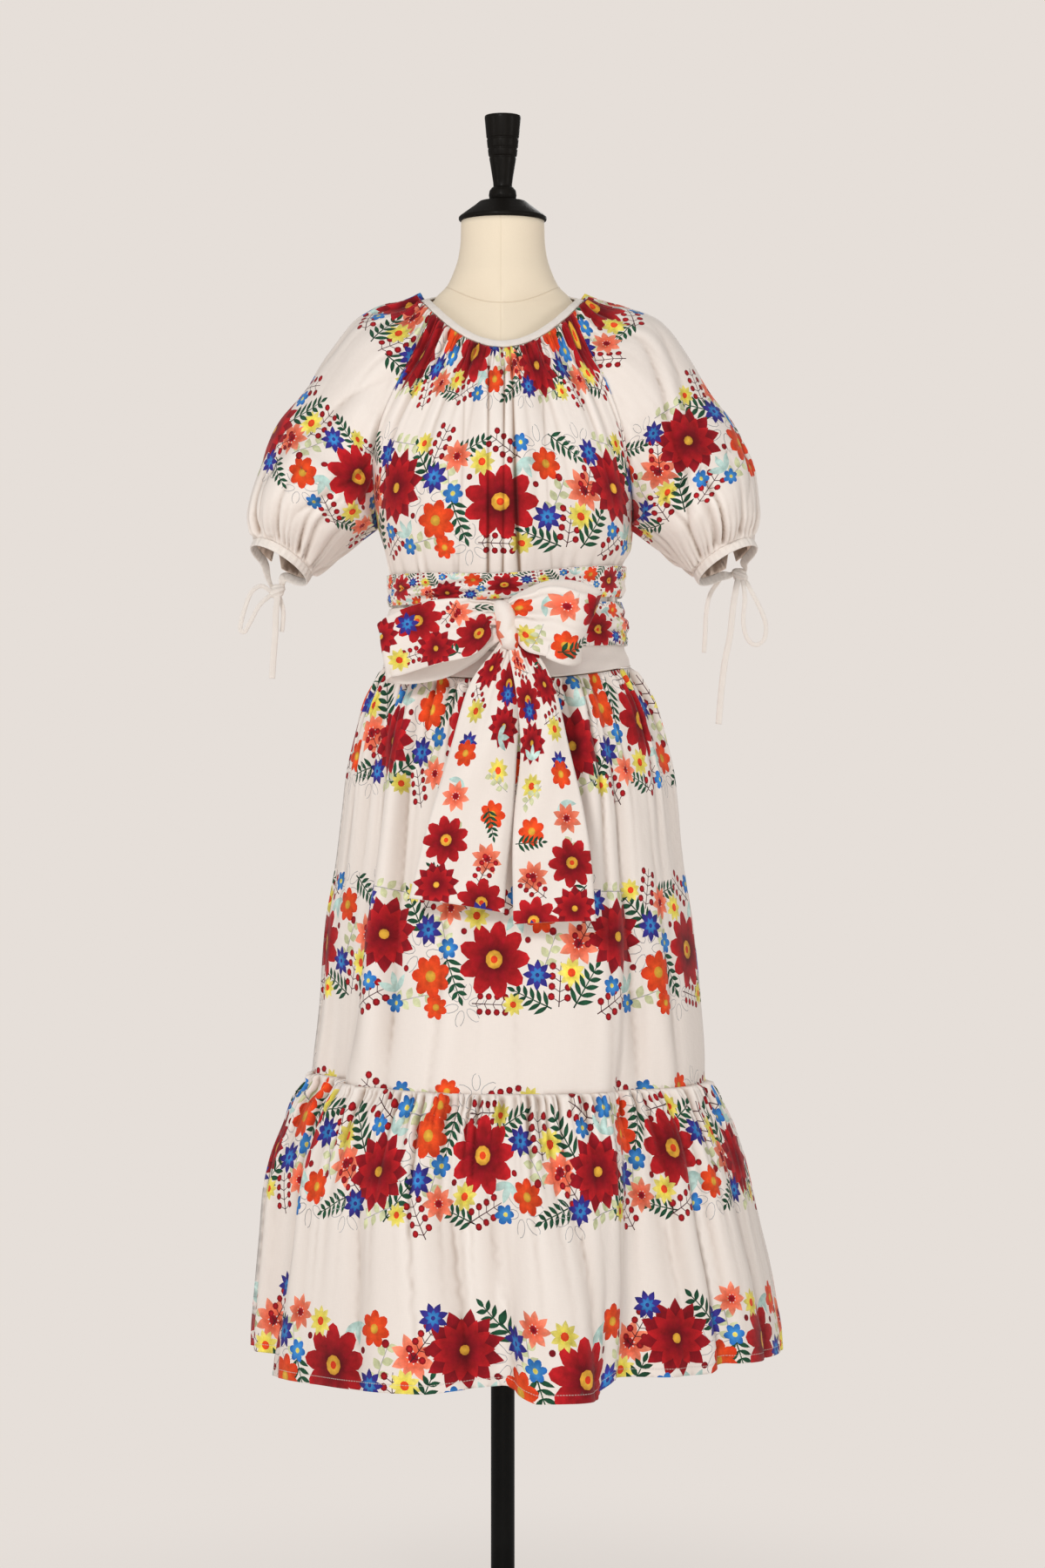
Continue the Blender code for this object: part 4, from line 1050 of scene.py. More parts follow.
def smooth_path(points, count):
    """Evenly stepped points on a smooth curve through the given ones."""
    p = np.array(points, float)
    run = np.concatenate([[0], np.cumsum(np.linalg.norm(np.diff(p, axis=0), axis=1))])
    ext = np.vstack([2 * p[0] - p[1], p, 2 * p[-1] - p[-2]])
    s = np.linspace(0, run[-1], count)
    i = np.clip(np.searchsorted(run, s, side="right") - 1, 0, len(p) - 2)
    f = ((s - run[i]) / (run[i + 1] - run[i]))[:, None]
    a, b, c, d = ext[i], ext[i + 1], ext[i + 2], ext[i + 3]
    return 0.5 * (2 * b + (c - a) * f + (2 * a - 5 * b + 4 * c - d) * f**2
                  + (3 * b - 3 * c + d - a) * f**3)


# --------------------------------------------------------------- soft creases


def ripples(x, period, seed):
    """Rounded ridges with tight valleys, 0 to 1, unevenly about a period apart."""
    t = x / period
    t = t + 0.26 * np.sin(1.9 * t + seed) + 0.17 * np.sin(4.3 * t + 2.1 * seed)
    tall = 0.72 + 0.28 * np.sin(2.7 * t + 1.7 * seed)
    return tall * np.abs(np.sin(math.pi * t)) ** 0.85


def swell(x, y, long, seed):
    """Slow uneven rise and fall over a panel, -1 to 1."""
    a = np.sin(x / long * 5.1 + 1.3 * np.sin(y / long * 2.3 + seed) + seed)
    b = np.sin(y / long * 4.3 + 1.7 * np.sin(x / long * 3.1 + 2 * seed) + 1.6 * seed)
    return 0.6 * a + 0.4 * b * a + 0.2 * b


def gathers(across, down, tall, seed, fine=0.0115):
    """Gathers that hang from a sewn edge and run together further down."""
    lean = across + 0.05 * down * np.sin(31 * across + seed)
    first = 0.55 * ripples(lean, fine, seed) * np.exp(-down / 0.030)
    second = 0.75 * ripples(lean, 2.3 * fine, seed + 1) * np.exp(-down / 0.075)
    third = 0.85 * ripples(lean, 4.9 * fine, seed + 2) * step(down, -0.02, 0.05)
    drop = 0.45 + 0.40 * step(down, 0.0, 0.03)
    return tall * (first + second + (third - drop) * np.exp(-down / 0.130))


# ------------------------------------------------------- panels and their mesh


def normals_of(place, u, v, turn, reach=4e-4):
    du = place(u + reach, v) - place(u - reach, v)
    dv = place(u, v + reach) - place(u, v - reach)
    return unit(np.cross(dv, du)) * turn


def lifted(base, lift, turn):
    """The surface base, moved out along its own normal by lift(u, v)."""

    def place(u, v):
        return base(u, v) + normals_of(base, u, v, turn) * lift(u, v)[..., None]

    place.relief = lift
    place.base = base
    return place


def painted_crease_shade(place, u, v, reach=0.0036):
    """Painted shade, darker and warmer, in creases and beside higher ridges, and a little painted light on
    ridges.
    """
    relief = getattr(place, "relief", None)
    if relief is None:
        return np.ones((len(u), 3))
    here = relief(u, v)
    near = relief(u + reach, v), relief(u - reach, v), relief(u, v + reach), relief(u, v - reach)
    bend = (sum(near) - 4 * here) / 2
    ridge = np.maximum.reduce([*near, relief(u + 2 * reach, v), relief(u - 2 * reach, v)])
    deep = np.clip(0.75 * bend / 0.0034, -0.18, 0.8) + 0.70 * np.clip((ridge - here) / 0.0060, 0, 1) ** 1.4
    # A panel may add its own painted shade, or painted light where it is negative.
    if hasattr(place, "shade"):
        deep = deep + place.shade(u, v)
    return 1 - np.minimum(deep, 1.7)[:, None] * np.array([0.36, 0.42, 0.46])


def inner_layer(place, flat, rim, turn, thick):
    """The cloth's other side, kept under the lowest crease near each point."""
    u, v = flat[:, 0], flat[:, 1]
    relief = getattr(place, "relief", None)
    if relief is None:
        return place(u, v) - normals_of(place, u, v, turn) * thick
    tree = KDTree(len(rim))
    for k, p in enumerate(rim):
        tree.insert((p[0], p[1], 0), k)
    tree.balance()
    near = np.array([tree.find((p[0], p[1], 0))[2] for p in flat])
    low = relief(u, v)
    inside = step(near, 0.001, 0.012)
    for reach in (0.003, 0.006):
        for turned in range(8):
            a = math.pi * turned / 4
            moved = relief(u + inside * reach * math.cos(a), v + inside * reach * math.sin(a))
            low = np.minimum(low, moved)
    here, out = place.base(u, v), normals_of(place.base, u, v, turn)
    bend = 0.0
    for a, b in ((0.005, 0.0), (0.0, 0.005)):
        middle = (place.base(u + a, v + b) + place.base(u - a, v - b)) / 2
        bend = np.maximum(bend, np.abs(np.sum((middle - here) * out, -1)))
    sink = low - thick - inside * (0.0005 + np.minimum(bend, 0.003))
    return here + out * sink[:, None]


def edge_loop(half, long, count_across, count_down, notch=None):
    """Outline of a cut that is half(v) wide each side of its middle, v from 0 to long."""
    v = np.linspace(0, long, count_down + 1)
    s = np.linspace(-1, 1, count_across + 1)
    top = np.stack([s * half(0.0), 0 * s], -1)
    right = np.stack([half(v), v], -1)[1:]
    low = np.stack([s[::-1] * half(long), 0 * s + long], -1)[1:]
    if notch is not None:
        at, wide, tall = notch
        x = at * half(long)
        low = low[np.abs(low[:, 0] - x) > wide]
        cut = np.array([(x + wide, long), (x, long - tall), (x - wide, long)])
        k = int(np.sum(low[:, 0] > x))
        low = np.concatenate([low[:k], cut, low[k:]])
    left = np.stack([-half(v), v], -1)[::-1][1:-1]
    return np.concatenate([top, right, low, left])


def fill_points(half, long, steps):
    """Points inside a cut; steps give the spacing across and down at a height."""
    at, across, down = columns(steps)
    points = []
    v = 0.0
    odd = 0
    while True:
        v += float(np.interp(v, at, down))
        if v > long - 0.3 * float(np.interp(v, at, down)):
            break
        wide = float(half(v))
        gap = float(np.interp(v, at, across))
        count = max(4, int(2 * wide / gap))
        s = (np.arange(1, count) + 0.25 * (odd - 0.5)) / count * 2 - 1
        points.append(np.stack([s * wide, 0 * s + v], -1))
        odd = 1 - odd
    return np.concatenate(points)


def triangulate(points, loop, outlines=(), creases=()):
    """Triangles of a cut: points, triangles and the outline each lies in."""
    verts = [Vector(p) for p in np.concatenate([loop, points])]
    edges = []
    for crease in creases:
        first = len(verts)
        verts.extend(Vector(p) for p in crease)
        edges += [(k, k + 1) for k in range(first, len(verts) - 1)]
    faces = [list(range(len(loop)))]
    low, high = loop.min(0) - 0.001, loop.max(0) + 0.001
    if signed_area(loop) < 0:
        faces[0].reverse()
    kept = [None]
    for shape in outlines:
        p = shape[0]
        if np.any(p.max(0) < low) or np.any(p.min(0) > high):
            continue
        ids = list(range(len(verts), len(verts) + len(p)))
        if signed_area(p) < 0:
            ids.reverse()
        verts.extend(Vector(q) for q in p)
        faces.append(ids)
        kept.append(shape)
    out = delaunay_2d_cdt(verts, edges, faces, 0, 1e-7, True)
    flat = np.array([tuple(p) for p in out[0]])
    triangles = []
    owners = []
    for face, origin in zip(out[2], out[5]):
        if 0 not in origin or len(face) != 3:
            continue
        triangles.append(face)
        owners.append(max(origin))
    triangles = np.array(triangles)
    owners = np.array(owners)
    # No needle triangles from outlines that nearly touch.
    a, b, c = (flat[triangles[:, k]] for k in range(3))
    area = 0.5 * np.abs((b - a)[:, 0] * (c - a)[:, 1] - (b - a)[:, 1] * (c - a)[:, 0])
    fine = area > 1e-12
    return flat, triangles[fine], owners[fine], kept


def rim_of(flat, triangles):
    """Ordered vertices of the outer edge."""
    sides = np.concatenate([triangles[:, [0, 1]], triangles[:, [1, 2]], triangles[:, [2, 0]]])
    known = {(int(a), int(b)) for a, b in sides}
    follow = {a: b for a, b in known if (b, a) not in known}
    start = min(follow, key=lambda k: tuple(flat[k]))
    chain = [start]
    while follow.get(chain[-1], start) != start and len(chain) <= len(follow):
        chain.append(follow[chain[-1]])
    return chain


def cloth_colours(flat, triangles, owners, shapes):
    """Colour and dye of every triangle corner."""
    inner = np.array([CREAM if s is None else s[1] for s in shapes])
    outer = np.array([CREAM if s is None else s[2] for s in shapes])
    centre = np.array([(0, 0) if s is None else s[3] for s in shapes], float)
    reach = np.array([1.0 if s is None else s[4] for s in shapes])
    who = np.repeat(owners, 3)
    at = flat[triangles.ravel()]
    far = np.clip(np.linalg.norm(at - centre[who], axis=1) / reach[who], 0, 1)[:, None]
    colour = inner[who] * (1 - far) + outer[who] * far
    return colour, (who > 0).astype(float)


def link(name, verts, faces, finish):
    mesh = bpy.data.meshes.new(name)
    mesh.from_pydata([tuple(v) for v in verts], [], [tuple(int(i) for i in f) for f in faces])
    obj = bpy.data.objects.new(name, mesh)
    bpy.context.scene.collection.objects.link(obj)
    mesh.materials.append(finish)
    mesh.polygons.foreach_set("use_smooth", np.ones(len(mesh.polygons), bool))
    return obj


def settle(obj, slot, *nodes):
    """Every piece rides the one body and hides the imported parts it stands in for."""
    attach(obj, "root")
    if nodes:
        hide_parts(*nodes)
    return obj


def cloth_panel(name, place, turn, half, long, steps, loop, shapes, finish, thick=CLOTH, creases=()):
    """A cut piece with its print, as a closed thin shell on its surface."""
    points = fill_points(half, long, steps)
    flat, triangles, owners, kept = triangulate(points, loop, shapes, creases)
    rim = rim_of(flat, triangles)
    wider = [(at, max(across, min(1.7 * across, 0.0062)), max(down, min(1.7 * down, 0.0075)))
             for at, across, down in steps]
    inside, inner_tris, _, _ = triangulate(fill_points(half, long, wider), flat[rim])
    u, v = flat[:, 0], flat[:, 1]
    outer = place(u, v)
    under = inner_layer(place, inside, flat[rim], turn, thick)
    # The rim joins the two layers point by point.
    tree = {tuple(np.round(p, 7)): k for k, p in enumerate(inside)}
    first = len(outer)
    joined = []
    for a, b in zip(rim, rim[1:] + rim[:1]):
        c = tree.get(tuple(np.round(flat[a], 7)))
        d = tree.get(tuple(np.round(flat[b], 7)))
        if c is not None and d is not None:
            joined.append((b, a, first + c, first + d))
    tri = triangles[:, ::-1] if turn > 0 else triangles
    tri_in = (inner_tris if turn > 0 else inner_tris[:, ::-1]) + first
    if turn > 0:
        joined = [quad[::-1] for quad in joined]
    order = slice(None, None, -1) if turn > 0 else slice(None)
    colour, dye = cloth_colours(flat, triangles[:, order], owners, kept)
    # Painted crease shade and painted ridge light are multiplied into the print's colours.
    tone = painted_crease_shade(place, u, v)
    colour = colour * tone[triangles[:, order].ravel()]
    obj = link(name, np.concatenate([outer, under]), [*tri, *tri_in, *joined], finish)
    rest = 3 * len(tri_in) + 4 * len(joined)
    # A doubled strip is cream on both sides; the panels' inner sides get painted warm light, a warmer cream
    # for light bounced and shone through inside.
    inner_side_colour = CREAM if thick == DOUBLE_CLOTH else INSIDE_PAINTED_WARM_LIGHT
    colour = np.concatenate([colour, np.tile(inner_side_colour, (rest, 1))])
    dye = np.concatenate([dye, np.zeros(rest)])
    paint(obj, colour, dye)
    every = np.concatenate([flat, inside])
    layer = np.concatenate([np.zeros(len(flat)), np.ones(len(inside))])
    lay_cut(obj, every, layer, long)
    return obj


def paint(obj, colour, dye):
    mesh = obj.data
    print_with_painted_shade = mesh.color_attributes.new("print", "FLOAT_COLOR", "CORNER")
    print_with_painted_shade.data.foreach_set("color", np.c_[colour, np.ones(len(colour))].ravel())
    wet = mesh.attributes.new("dye", "FLOAT", "CORNER")
    wet.data.foreach_set("value", dye)


def lay_cut(obj, flat, layer, long):
    """Two maps of the flat cut: in metres from the hem, and fitted for baking."""
    mesh = obj.data
    corner = np.empty(len(mesh.loops), int)
    mesh.loops.foreach_get("vertex_index", corner)
    cut = np.stack([flat[:, 0], long - flat[:, 1]], -1)
    low, high = flat.min(0) - 0.002, flat.max(0) + 0.002
    size = high - low
    fit = (flat - low) / max(size[0], 2 * size[1])
    fit[:, 1] += layer * size[1] / max(size[0], 2 * size[1])
    if size[0] < size[1]:
        fit = (flat - low) / max(2 * size[0], size[1])
        fit[:, 0] += layer * size[0] / max(2 * size[0], size[1])
    for title, values in (("OFBake", fit), ("cut", cut)):
        layer_uv = mesh.uv_layers.new(name=title)
        layer_uv.data.foreach_set("uv", values[corner].ravel())
    mesh.uv_layers.active = mesh.uv_layers["OFBake"]


# ----------------------------------------------------------- skirt and flounce


def run_along(points):
    return np.concatenate([[0], np.cumsum(np.linalg.norm(np.diff(points, axis=0), axis=1))])


def look_up(table, down, across):
    """Value of a table at parts 0 to 1 down its rows and across its columns."""
    rows, cols = table.shape
    i, j = np.clip(down, 0, 1) * (rows - 1), np.clip(across, 0, 1) * (cols - 1)
    a, b = np.minimum(i.astype(int), rows - 2), np.minimum(j.astype(int), cols - 2)
    i, j = i - a, j - b
    upper = table[a, b] * (1 - j) + table[a, b + 1] * j
    lower = table[a + 1, b] * (1 - j) + table[a + 1, b + 1] * j
    return upper * (1 - i) + lower * i


# A tier's cloth is spread on a grid: heights down it, places across it.
HEIGHTS = 60
PLACES = 1500


def tier(name, front, top, low, level, long, lift, steps, shapes, finish):
    """A straight-cut tier: its flat width is its run round the dress at one level."""
    mid = 0.0 if front else math.pi
    angle = np.linspace(mid - math.pi / 2, mid + math.pi / 2, 2400)
    wide = run_along(skirt_ring(angle, np.full_like(angle, level)))[-1] / 2
    # The cloth is spread evenly round every level, over the deep folds too.
    spread = []
    for part in np.linspace(0, 1, HEIGHTS):
        run = run_along(skirt_ring(angle, top(angle) + (low(angle) - top(angle)) * part))
        spread.append(np.interp(np.linspace(0, run[-1], PLACES), run, angle))
    spread = np.array(spread)

    def base(u, v):
        phi = look_up(spread, v / long, (u / wide + 1) / 2)
        return skirt_ring(phi, top(phi) + (low(phi) - top(phi)) * v / long)

    # Small creases die out where a deep fold turns sharply.
    near = int(0.006 / (2 * wide) * PLACES)
    across, down = np.linspace(-wide, wide, PLACES), np.linspace(0, long, HEIGHTS)[:, None]
    grid = base(*np.broadcast_arrays(across, down))
    bend = np.zeros((HEIGHTS, PLACES))
    middle = (grid[:, :-2 * near] + grid[:, 2 * near:]) / 2
    bend[:, near:-near] = np.linalg.norm(middle - grid[:, near:-near], axis=-1)
    calm = 1 / (1 + (bend / 0.0012) ** 2)
    for _ in range(3):
        calm = (np.roll(calm, near // 2, 1) + calm + np.roll(calm, -(near // 2), 1)) / 3

    def rise(u, v):
        edge = step(wide - np.abs(u), 0.0, 0.010)
        return lift(u, v) * edge * look_up(calm, v / long, (u / wide + 1) / 2)

    half = lambda v: wide + 0 * np.asarray(v, float)
    place = lifted(base, rise, 1)
    if not front:
        steps = [(at, 1.18 * across, 1.18 * down) for at, across, down in steps]
    loop = edge_loop(half, long, int(2 * wide / 0.0028), int(long / 0.0045))
    return cloth_panel(name, place, 1, half, long, steps, loop, shapes, finish), 2 * wide


# Length of the cut, and the height at which its width is measured round the dress.
SKIRT_LONG = 0.446
SKIRT_LEVEL = 0.66
SKIRT_STEPS = [(0.0, 0.0030, 0.0040), (0.12, 0.0036, 0.0060), (0.30, 0.0050, 0.0080), (0.45, 0.0050, 0.0070)]


def skirt(name, front, seed, finish):
    def lift(u, v):
        pleats = 0.0098 * (ripples(u, 0.027, seed) - 0.5) * np.exp(-v / 0.070)
        wider = 0.0145 * (ripples(u + 0.03 * v, 0.066, seed + 1) - 0.6)
        wider = wider * np.exp(-v / 0.24) * step(v, -0.03, 0.04)
        long = 0.0105 * (ripples(u - 0.04 * v, 0.118, seed + 2) - 0.6) * step(v, 0.0, 0.15)
        shallow = step(v, -0.002, 0.010)
        return (pleats + wider + long * (1 - 0.5 * step(v, 0.38, 0.44))) * shallow - 0.0006

    print_ = Print(seed)
    wide = 0.34
    print_.band(-wide, wide, 0.066, 0.05 * seed, 1, 0.80, 0.98)
    print_.band(-wide, wide, 0.290, 0.04 + 0.05 * seed, -1, 0.86, 1.0)
    print_.band(-wide, wide, 0.520, 0.11, 1, 1.0, 1.0, -90, -66)
    return tier(
        name, front, lambda p: band_low(p) - SEAM - 0.0008, seam_z, SKIRT_LEVEL, SKIRT_LONG,
        lift, SKIRT_STEPS, print_.shapes, finish,
    )


FLOUNCE_LONG = 0.306
FLOUNCE_LEVEL = 0.36
FLOUNCE_STEPS = [
    (0.0, 0.0019, 0.0026), (0.035, 0.0022, 0.0035), (0.08, 0.0036, 0.0060),
    (0.16, 0.0050, 0.0085), (0.31, 0.0060, 0.0100),
]


def flounce(name, front, seed, finish):
    def lift(u, v):
        low = 0.0135 * (ripples(u - 0.05 * v, 0.101, seed + 5) - 0.7) * step(v, 0.02, 0.18)
        return (gathers(u, v, 0.0135, seed, 0.0125) + low) * step(v, -0.0015, 0.006) - 0.0006

    print_ = Print(seed + 20)
    wide = 0.52
    print_.band(-wide, wide, 0.074, 0.02 + 0.03 * seed, 1, 0.78, 1.02)
    print_.band(-wide, wide, 0.272, 0.13 + 0.03 * seed, -1, 0.80, 1.03, -58, 90)
    return tier(
        name, front, lambda p: seam_z(p) + 0.0004, hem_z, FLOUNCE_LEVEL, FLOUNCE_LONG,
        lift, FLOUNCE_STEPS, print_.shapes, finish,
    )


# -------------------------------------------------------------- bodice, sleeves


BODICE_CUT = [
    # part of the way down, half width of the cut front and back
    (0.00, 0.2300, 0.2000),
    (0.16, 0.2240, 0.1960),
    (0.35, 0.2130, 0.1900),
    (0.50, 0.2080, 0.1890),
    (0.60, 0.2120, 0.1950),
    (0.75, 0.2060, 0.1900),
    (1.00, 0.2060, 0.1900),
]

# Folds that hang down the front's middle: where each starts and ends across,
# its depth, how softly its left and right sides rise, and how dark its painted
# line and the painted shadow on its right are.
MIDDLE_FOLDS = [
    # x at neck, x at waist, deep, left soft, right soft, painted dark line, painted shadow on its right
    (-0.0400, -0.0520, 0.0018, 0.0070, 0.0030, 0.25, 0.00),
    (-0.0150, -0.0165, 0.0056, 0.0016, 0.0052, 0.80, 0.10),
    (0.0025, 0.0000, 0.0046, 0.0048, 0.0013, 0.70, 0.10),
    (0.0105, 0.0235, 0.0080, 0.0066, 0.0016, 1.00, 0.34),
    (0.0430, 0.0600, 0.0018, 0.0030, 0.0070, 0.25, 0.00),
]


def fold_line(start, end, part):
    return start + (end - start) * part ** 1.4


def middle_folds(x, part):
    """Depth of the middle folds at x across, part of the way down."""
    deep = 0.0 * x
    for start, end, tall, left, right, *_ in MIDDLE_FOLDS:
        off = x - fold_line(start, end, part)
        uneven = 0.8 + 0.3 * np.sin(8 * part + 300 * start)
        deep = deep + tall * uneven * np.exp(-np.abs(off) / np.where(off < 0, left, right))
    return deep


def painted_fold_shade(x, part):
    """Painted shade: dark lines in the middle folds and painted shadow beside them."""
    dark = 0.0 * x
    for start, end, _, _, _, line, shadow in MIDDLE_FOLDS:
        off = x - fold_line(start, end, part)
        uneven = 0.85 + 0.25 * np.sin(8 * part + 300 * start)
        dark = dark + line * 1.15 * np.exp(-(off / 0.0009) ** 2) * uneven
        beside = np.exp(-np.clip(off, 0, None) / 0.0050) * (off > -0.0004)
        dark = dark + shadow * beside * step(part, 0.25, 0.5)
    return dark * step(part, 0.02, 0.10)


def bodice(name, front, finish):
    rows = np.linspace(0, 2, 500)
    run = run_along(bodice_panel(np.zeros(500), rows, front))
    long = run[-1]
    at, cut_front, cut_back = columns(BODICE_CUT)
    cut = cut_front if front else cut_back
    turn = 1 if front else -1
    seed = 3 if front else 7

    def half(v):
        return curve(np.asarray(v, float) / long, at, cut)

    def base(u, v):
        v = np.clip(v, 0, long)
        across = np.clip(u / half(v), -1, 1)
        return bodice_panel(across, np.interp(v, run, rows), front)

    def lift(u, v):
        edge = step(half(v) - np.abs(u), 0.0, 0.012)
        rise = gathers(u, v, 0.0115, seed, 0.0150) * np.exp(-v / 0.13) * step(v, -0.001, 0.004)
        long_folds = 0.0042 * (ripples(u, 0.043, seed + 8) - 0.5) * step(v, 0.01, 0.05)
        long_folds = long_folds * (1 - 0.75 * step(v, 0.10, 0.20))
        waist = 0.0085 * (ripples(u, 0.029, seed + 4) - 0.45) * step(v, long - 0.13, long - 0.03)
        rise = rise + long_folds + waist * (1 - 0.6 * step(v, long - 0.010, long))
        if front:
            x = base(u, v)[..., 0]
            middle = np.exp(-((x - 0.004) / 0.030) ** 4) * step(v, 0.012, 0.045)
            rise = rise * (1 - 0.75 * middle) + 0.0034 * middle
            rise = rise - middle_folds(x, np.clip(v / long, 0, 1)) * step(v, 0.002, 0.03)
        return rise * edge

    print_ = Print(seed)
    print_.band(-0.24, 0.24, 0.020, 0.03, 1, 0.60, 0.92, -60, 90)
    print_.band(-0.24, 0.24, 0.170, 0.10 if front else 0.17, -1, 0.80, 0.98)
    steps = [(0.0, 0.0017, 0.0022), (0.04, 0.0022, 0.0034), (0.10, 0.0030, 0.0050), (0.25, 0.0032, 0.0050)]
    if not front:
        steps = [(at, 1.15 * across, 1.15 * down) for at, across, down in steps]
    loop = edge_loop(half, long, int(2 * float(half(0.2)) / 0.0022), int(long / 0.004))
    place = lifted(base, lift, turn)
    creases = []
    if front:
        # Painted shade along and beside the middle folds.
        place.shade = lambda u, v: painted_fold_shade(base(u, v)[..., 0], np.clip(v / long, 0, 1))
        # The mesh has edges along each middle fold and close beside it.
        down = np.arange(0.004, long - 0.002, 0.0036)
        stretch = 0.02 / base(np.full_like(down, 0.02), down)[:, 0]
        for start, end, *_ in MIDDLE_FOLDS:
            line = fold_line(start, end, down / long)
            for beside in (-0.0032, -0.0016, -0.0007, 0, 0.0007, 0.0016, 0.0032):
                creases.append(np.stack([(line + beside) * stretch, down], -1))
    obj = cloth_panel(name, place, turn, half, long, steps, loop, print_.shapes, finish, CLOTH, creases)
    return obj, long


SLEEVE_CUT = [
    # row, half width of the cut
    (0.0, 0.0900), (0.7, 0.0980), (1.4, 0.1170), (2.0, 0.1330), (3.0, 0.1550),
    (4.0, 0.1800), (5.0, 0.2130), (6.0, 0.2520), (7.0, 0.2440), (8.0, 0.2200), (9.0, 0.2060),
]


def sleeve(name, side, finish):
    rows = np.linspace(0, 9, 600)
    run = run_along(sleeve_panel(side, np.full(600, 0.5), rows))
    long = run[-1]
    at, cut = columns(SLEEVE_CUT)
    seed = 5 if side < 0 else 9

    def row_at(v):
        return np.interp(v, run, rows)

    def half(v):
        return curve(row_at(np.asarray(v, float)), at, cut)

    def base(u, v):
        v = np.clip(v, 0, long)
        t = np.clip(0.5 + 0.5 * u / half(v), 0, 1)
        return sleeve_panel(side, t, row_at(v))

    def lift(u, v):
        edge = step(half(v) - np.abs(u), 0.0, 0.012)
        up = long - v
        rise = gathers(u, v, 0.0115, seed, 0.0138) * np.exp(-v / 0.11) * step(v, -0.001, 0.004)
        cuff = 0.0062 * (ripples(u, 0.0140, seed + 3) - 0.5) * np.exp(-up / 0.026)
        cuff = cuff + 0.0115 * (ripples(u, 0.0330, seed + 4) - 0.6) * np.exp(-up / 0.075) * step(up, 0, 0.01)
        cuff = cuff * step(up, -0.001, 0.006)
        # Soft folds that hang slantwise from the shoulder towards the cuff.
        slant = ripples(u + side * 0.42 * (v - 0.2) + 0.010 * np.sin(9 * v + seed), 0.071, seed + 6)
        hang = step(v, 0.05, 0.14) * step(up, 0.02, 0.09)
        drape = (0.0050 * swell(u, v, 0.16, seed) + 0.0060 * (slant - 0.55)) * hang
        return (rise + cuff + drape) * edge

    print_ = Print(seed)
    print_.band(-0.28, 0.28, 0.020, 0.06 * side, side, 0.60, 0.92, -60, 90)
    print_.band(-0.28, 0.28, 0.222, 0.10 * side + 0.04, -side, 0.78, 0.98)
    steps = [(0.0, 0.0018, 0.0023), (0.05, 0.0028, 0.0042), (0.20, 0.0042, 0.0055),
             (0.30, 0.0030, 0.0036), (0.37, 0.0022, 0.0026)]
    notch = (2 * SLIT_AT - 1, 0.0120, 0.036)
    loop = edge_loop(half, long, int(2 * float(half(long)) / 0.0022), int(long / 0.004), notch)
    place = lifted(base, lift, side)
    obj = cloth_panel(name, place, side, half, long, steps, loop, print_.shapes, finish)
    return obj, long


# ------------------------------------------------------- bands, strips and ties


def ring_cloth(name, high, around, surface, shapes, finish, thick, down=0.003, folds=None):
    """A band sewn into a ring: surface(angle, part of its height from the top)."""
    half = lambda v: around / 2 + 0 * np.asarray(v, float)

    def place(u, v):
        return surface(math.pi * 2 * u / around, v / high)

    if folds is not None:
        place = lifted(place, lambda u, v: folds(math.pi * 2 * u / around, v / high), 1)
        # Painted light: the sash's colour is made a little lighter than the single cloth's.
        place.shade = lambda u, v: -0.14 + 0 * u
    steps = [(0.0, 0.0042, down), (high, 0.0042, down)]
    loop = edge_loop(half, high, int(around / 0.0040), max(3, int(high / down)))
    return cloth_panel(name, place, 1, half, high, steps, loop, shapes, finish, thick)


def waistband(name, finish):
    def surface(phi, part):
        crease = 0.0007 * np.sin(3 * phi + 9 * part) * np.sin(11 * phi)
        edge = 0.0006 * np.exp(-((part - 0.10) / 0.06) ** 2)
        edge = edge + 0.0006 * np.exp(-((part - 0.90) / 0.06) ** 2)
        rise = 0.0014 + crease - edge
        return body_ring(phi, band_low(phi) + BAND_HIGH * (1 - part), rise)[0]

    return ring_cloth(name, BAND_HIGH, BAND_ROUND, surface, [], finish, CLOTH, 0.0025)


def sash_wrap(name, z_mid, rise_right, high, lift, cut_high, shapes, finish, seed):
    """One turn of the sash round the waist, pulled into soft folds along it."""

    def surface(phi, part):
        z = z_mid + rise_right * np.sin(phi) - SASH_DIP * np.clip(np.cos(phi), 0, 1) ** 2
        z = z + high * (0.5 - part) * (1 - 0.20 * np.exp(-((phi - 0.02) / 0.45) ** 2))
        return body_ring(phi, z, lift + STRIP)[0]

    def folds(phi, part):
        # Pulled along the waist and drawn together towards the knot.
        drawn = 0.22 * np.sin(2.2 * phi) * np.exp(-((phi / 0.9) ** 2))
        shift = 0.30 * np.sin(1.3 * phi + seed) + 0.12 * np.sin(3.1 * phi + 2 * seed) + drawn
        count = 1.9 + 0.5 * np.sin(1.7 * phi + 2.4 * seed)
        fold = np.abs(np.sin(math.pi * (count * part + shift + 0.2 * seed))) ** 0.75
        second = np.abs(np.sin(math.pi * (4.3 * part - 1.9 * shift + 0.5 * seed))) ** 0.8
        bulge = np.clip(4 * part * (1 - part), 0, 1)
        tall = 0.62 + 0.38 * np.sin(2.3 * phi + 2.6 * part + 1.4 * seed)
        fine = 0.5 + 0.5 * np.sin(4.7 * phi - 3.0 * part + seed)
        small = 0.0005 * np.sin(17 * phi + 8 * part + seed)
        return bulge * (0.0004 + 0.0050 * fold * tall + 0.0020 * second * fine + small)

    return ring_cloth(name, cut_high, SASH_ROUND, surface, shapes, finish, DOUBLE_CLOTH, 0.0024, folds)


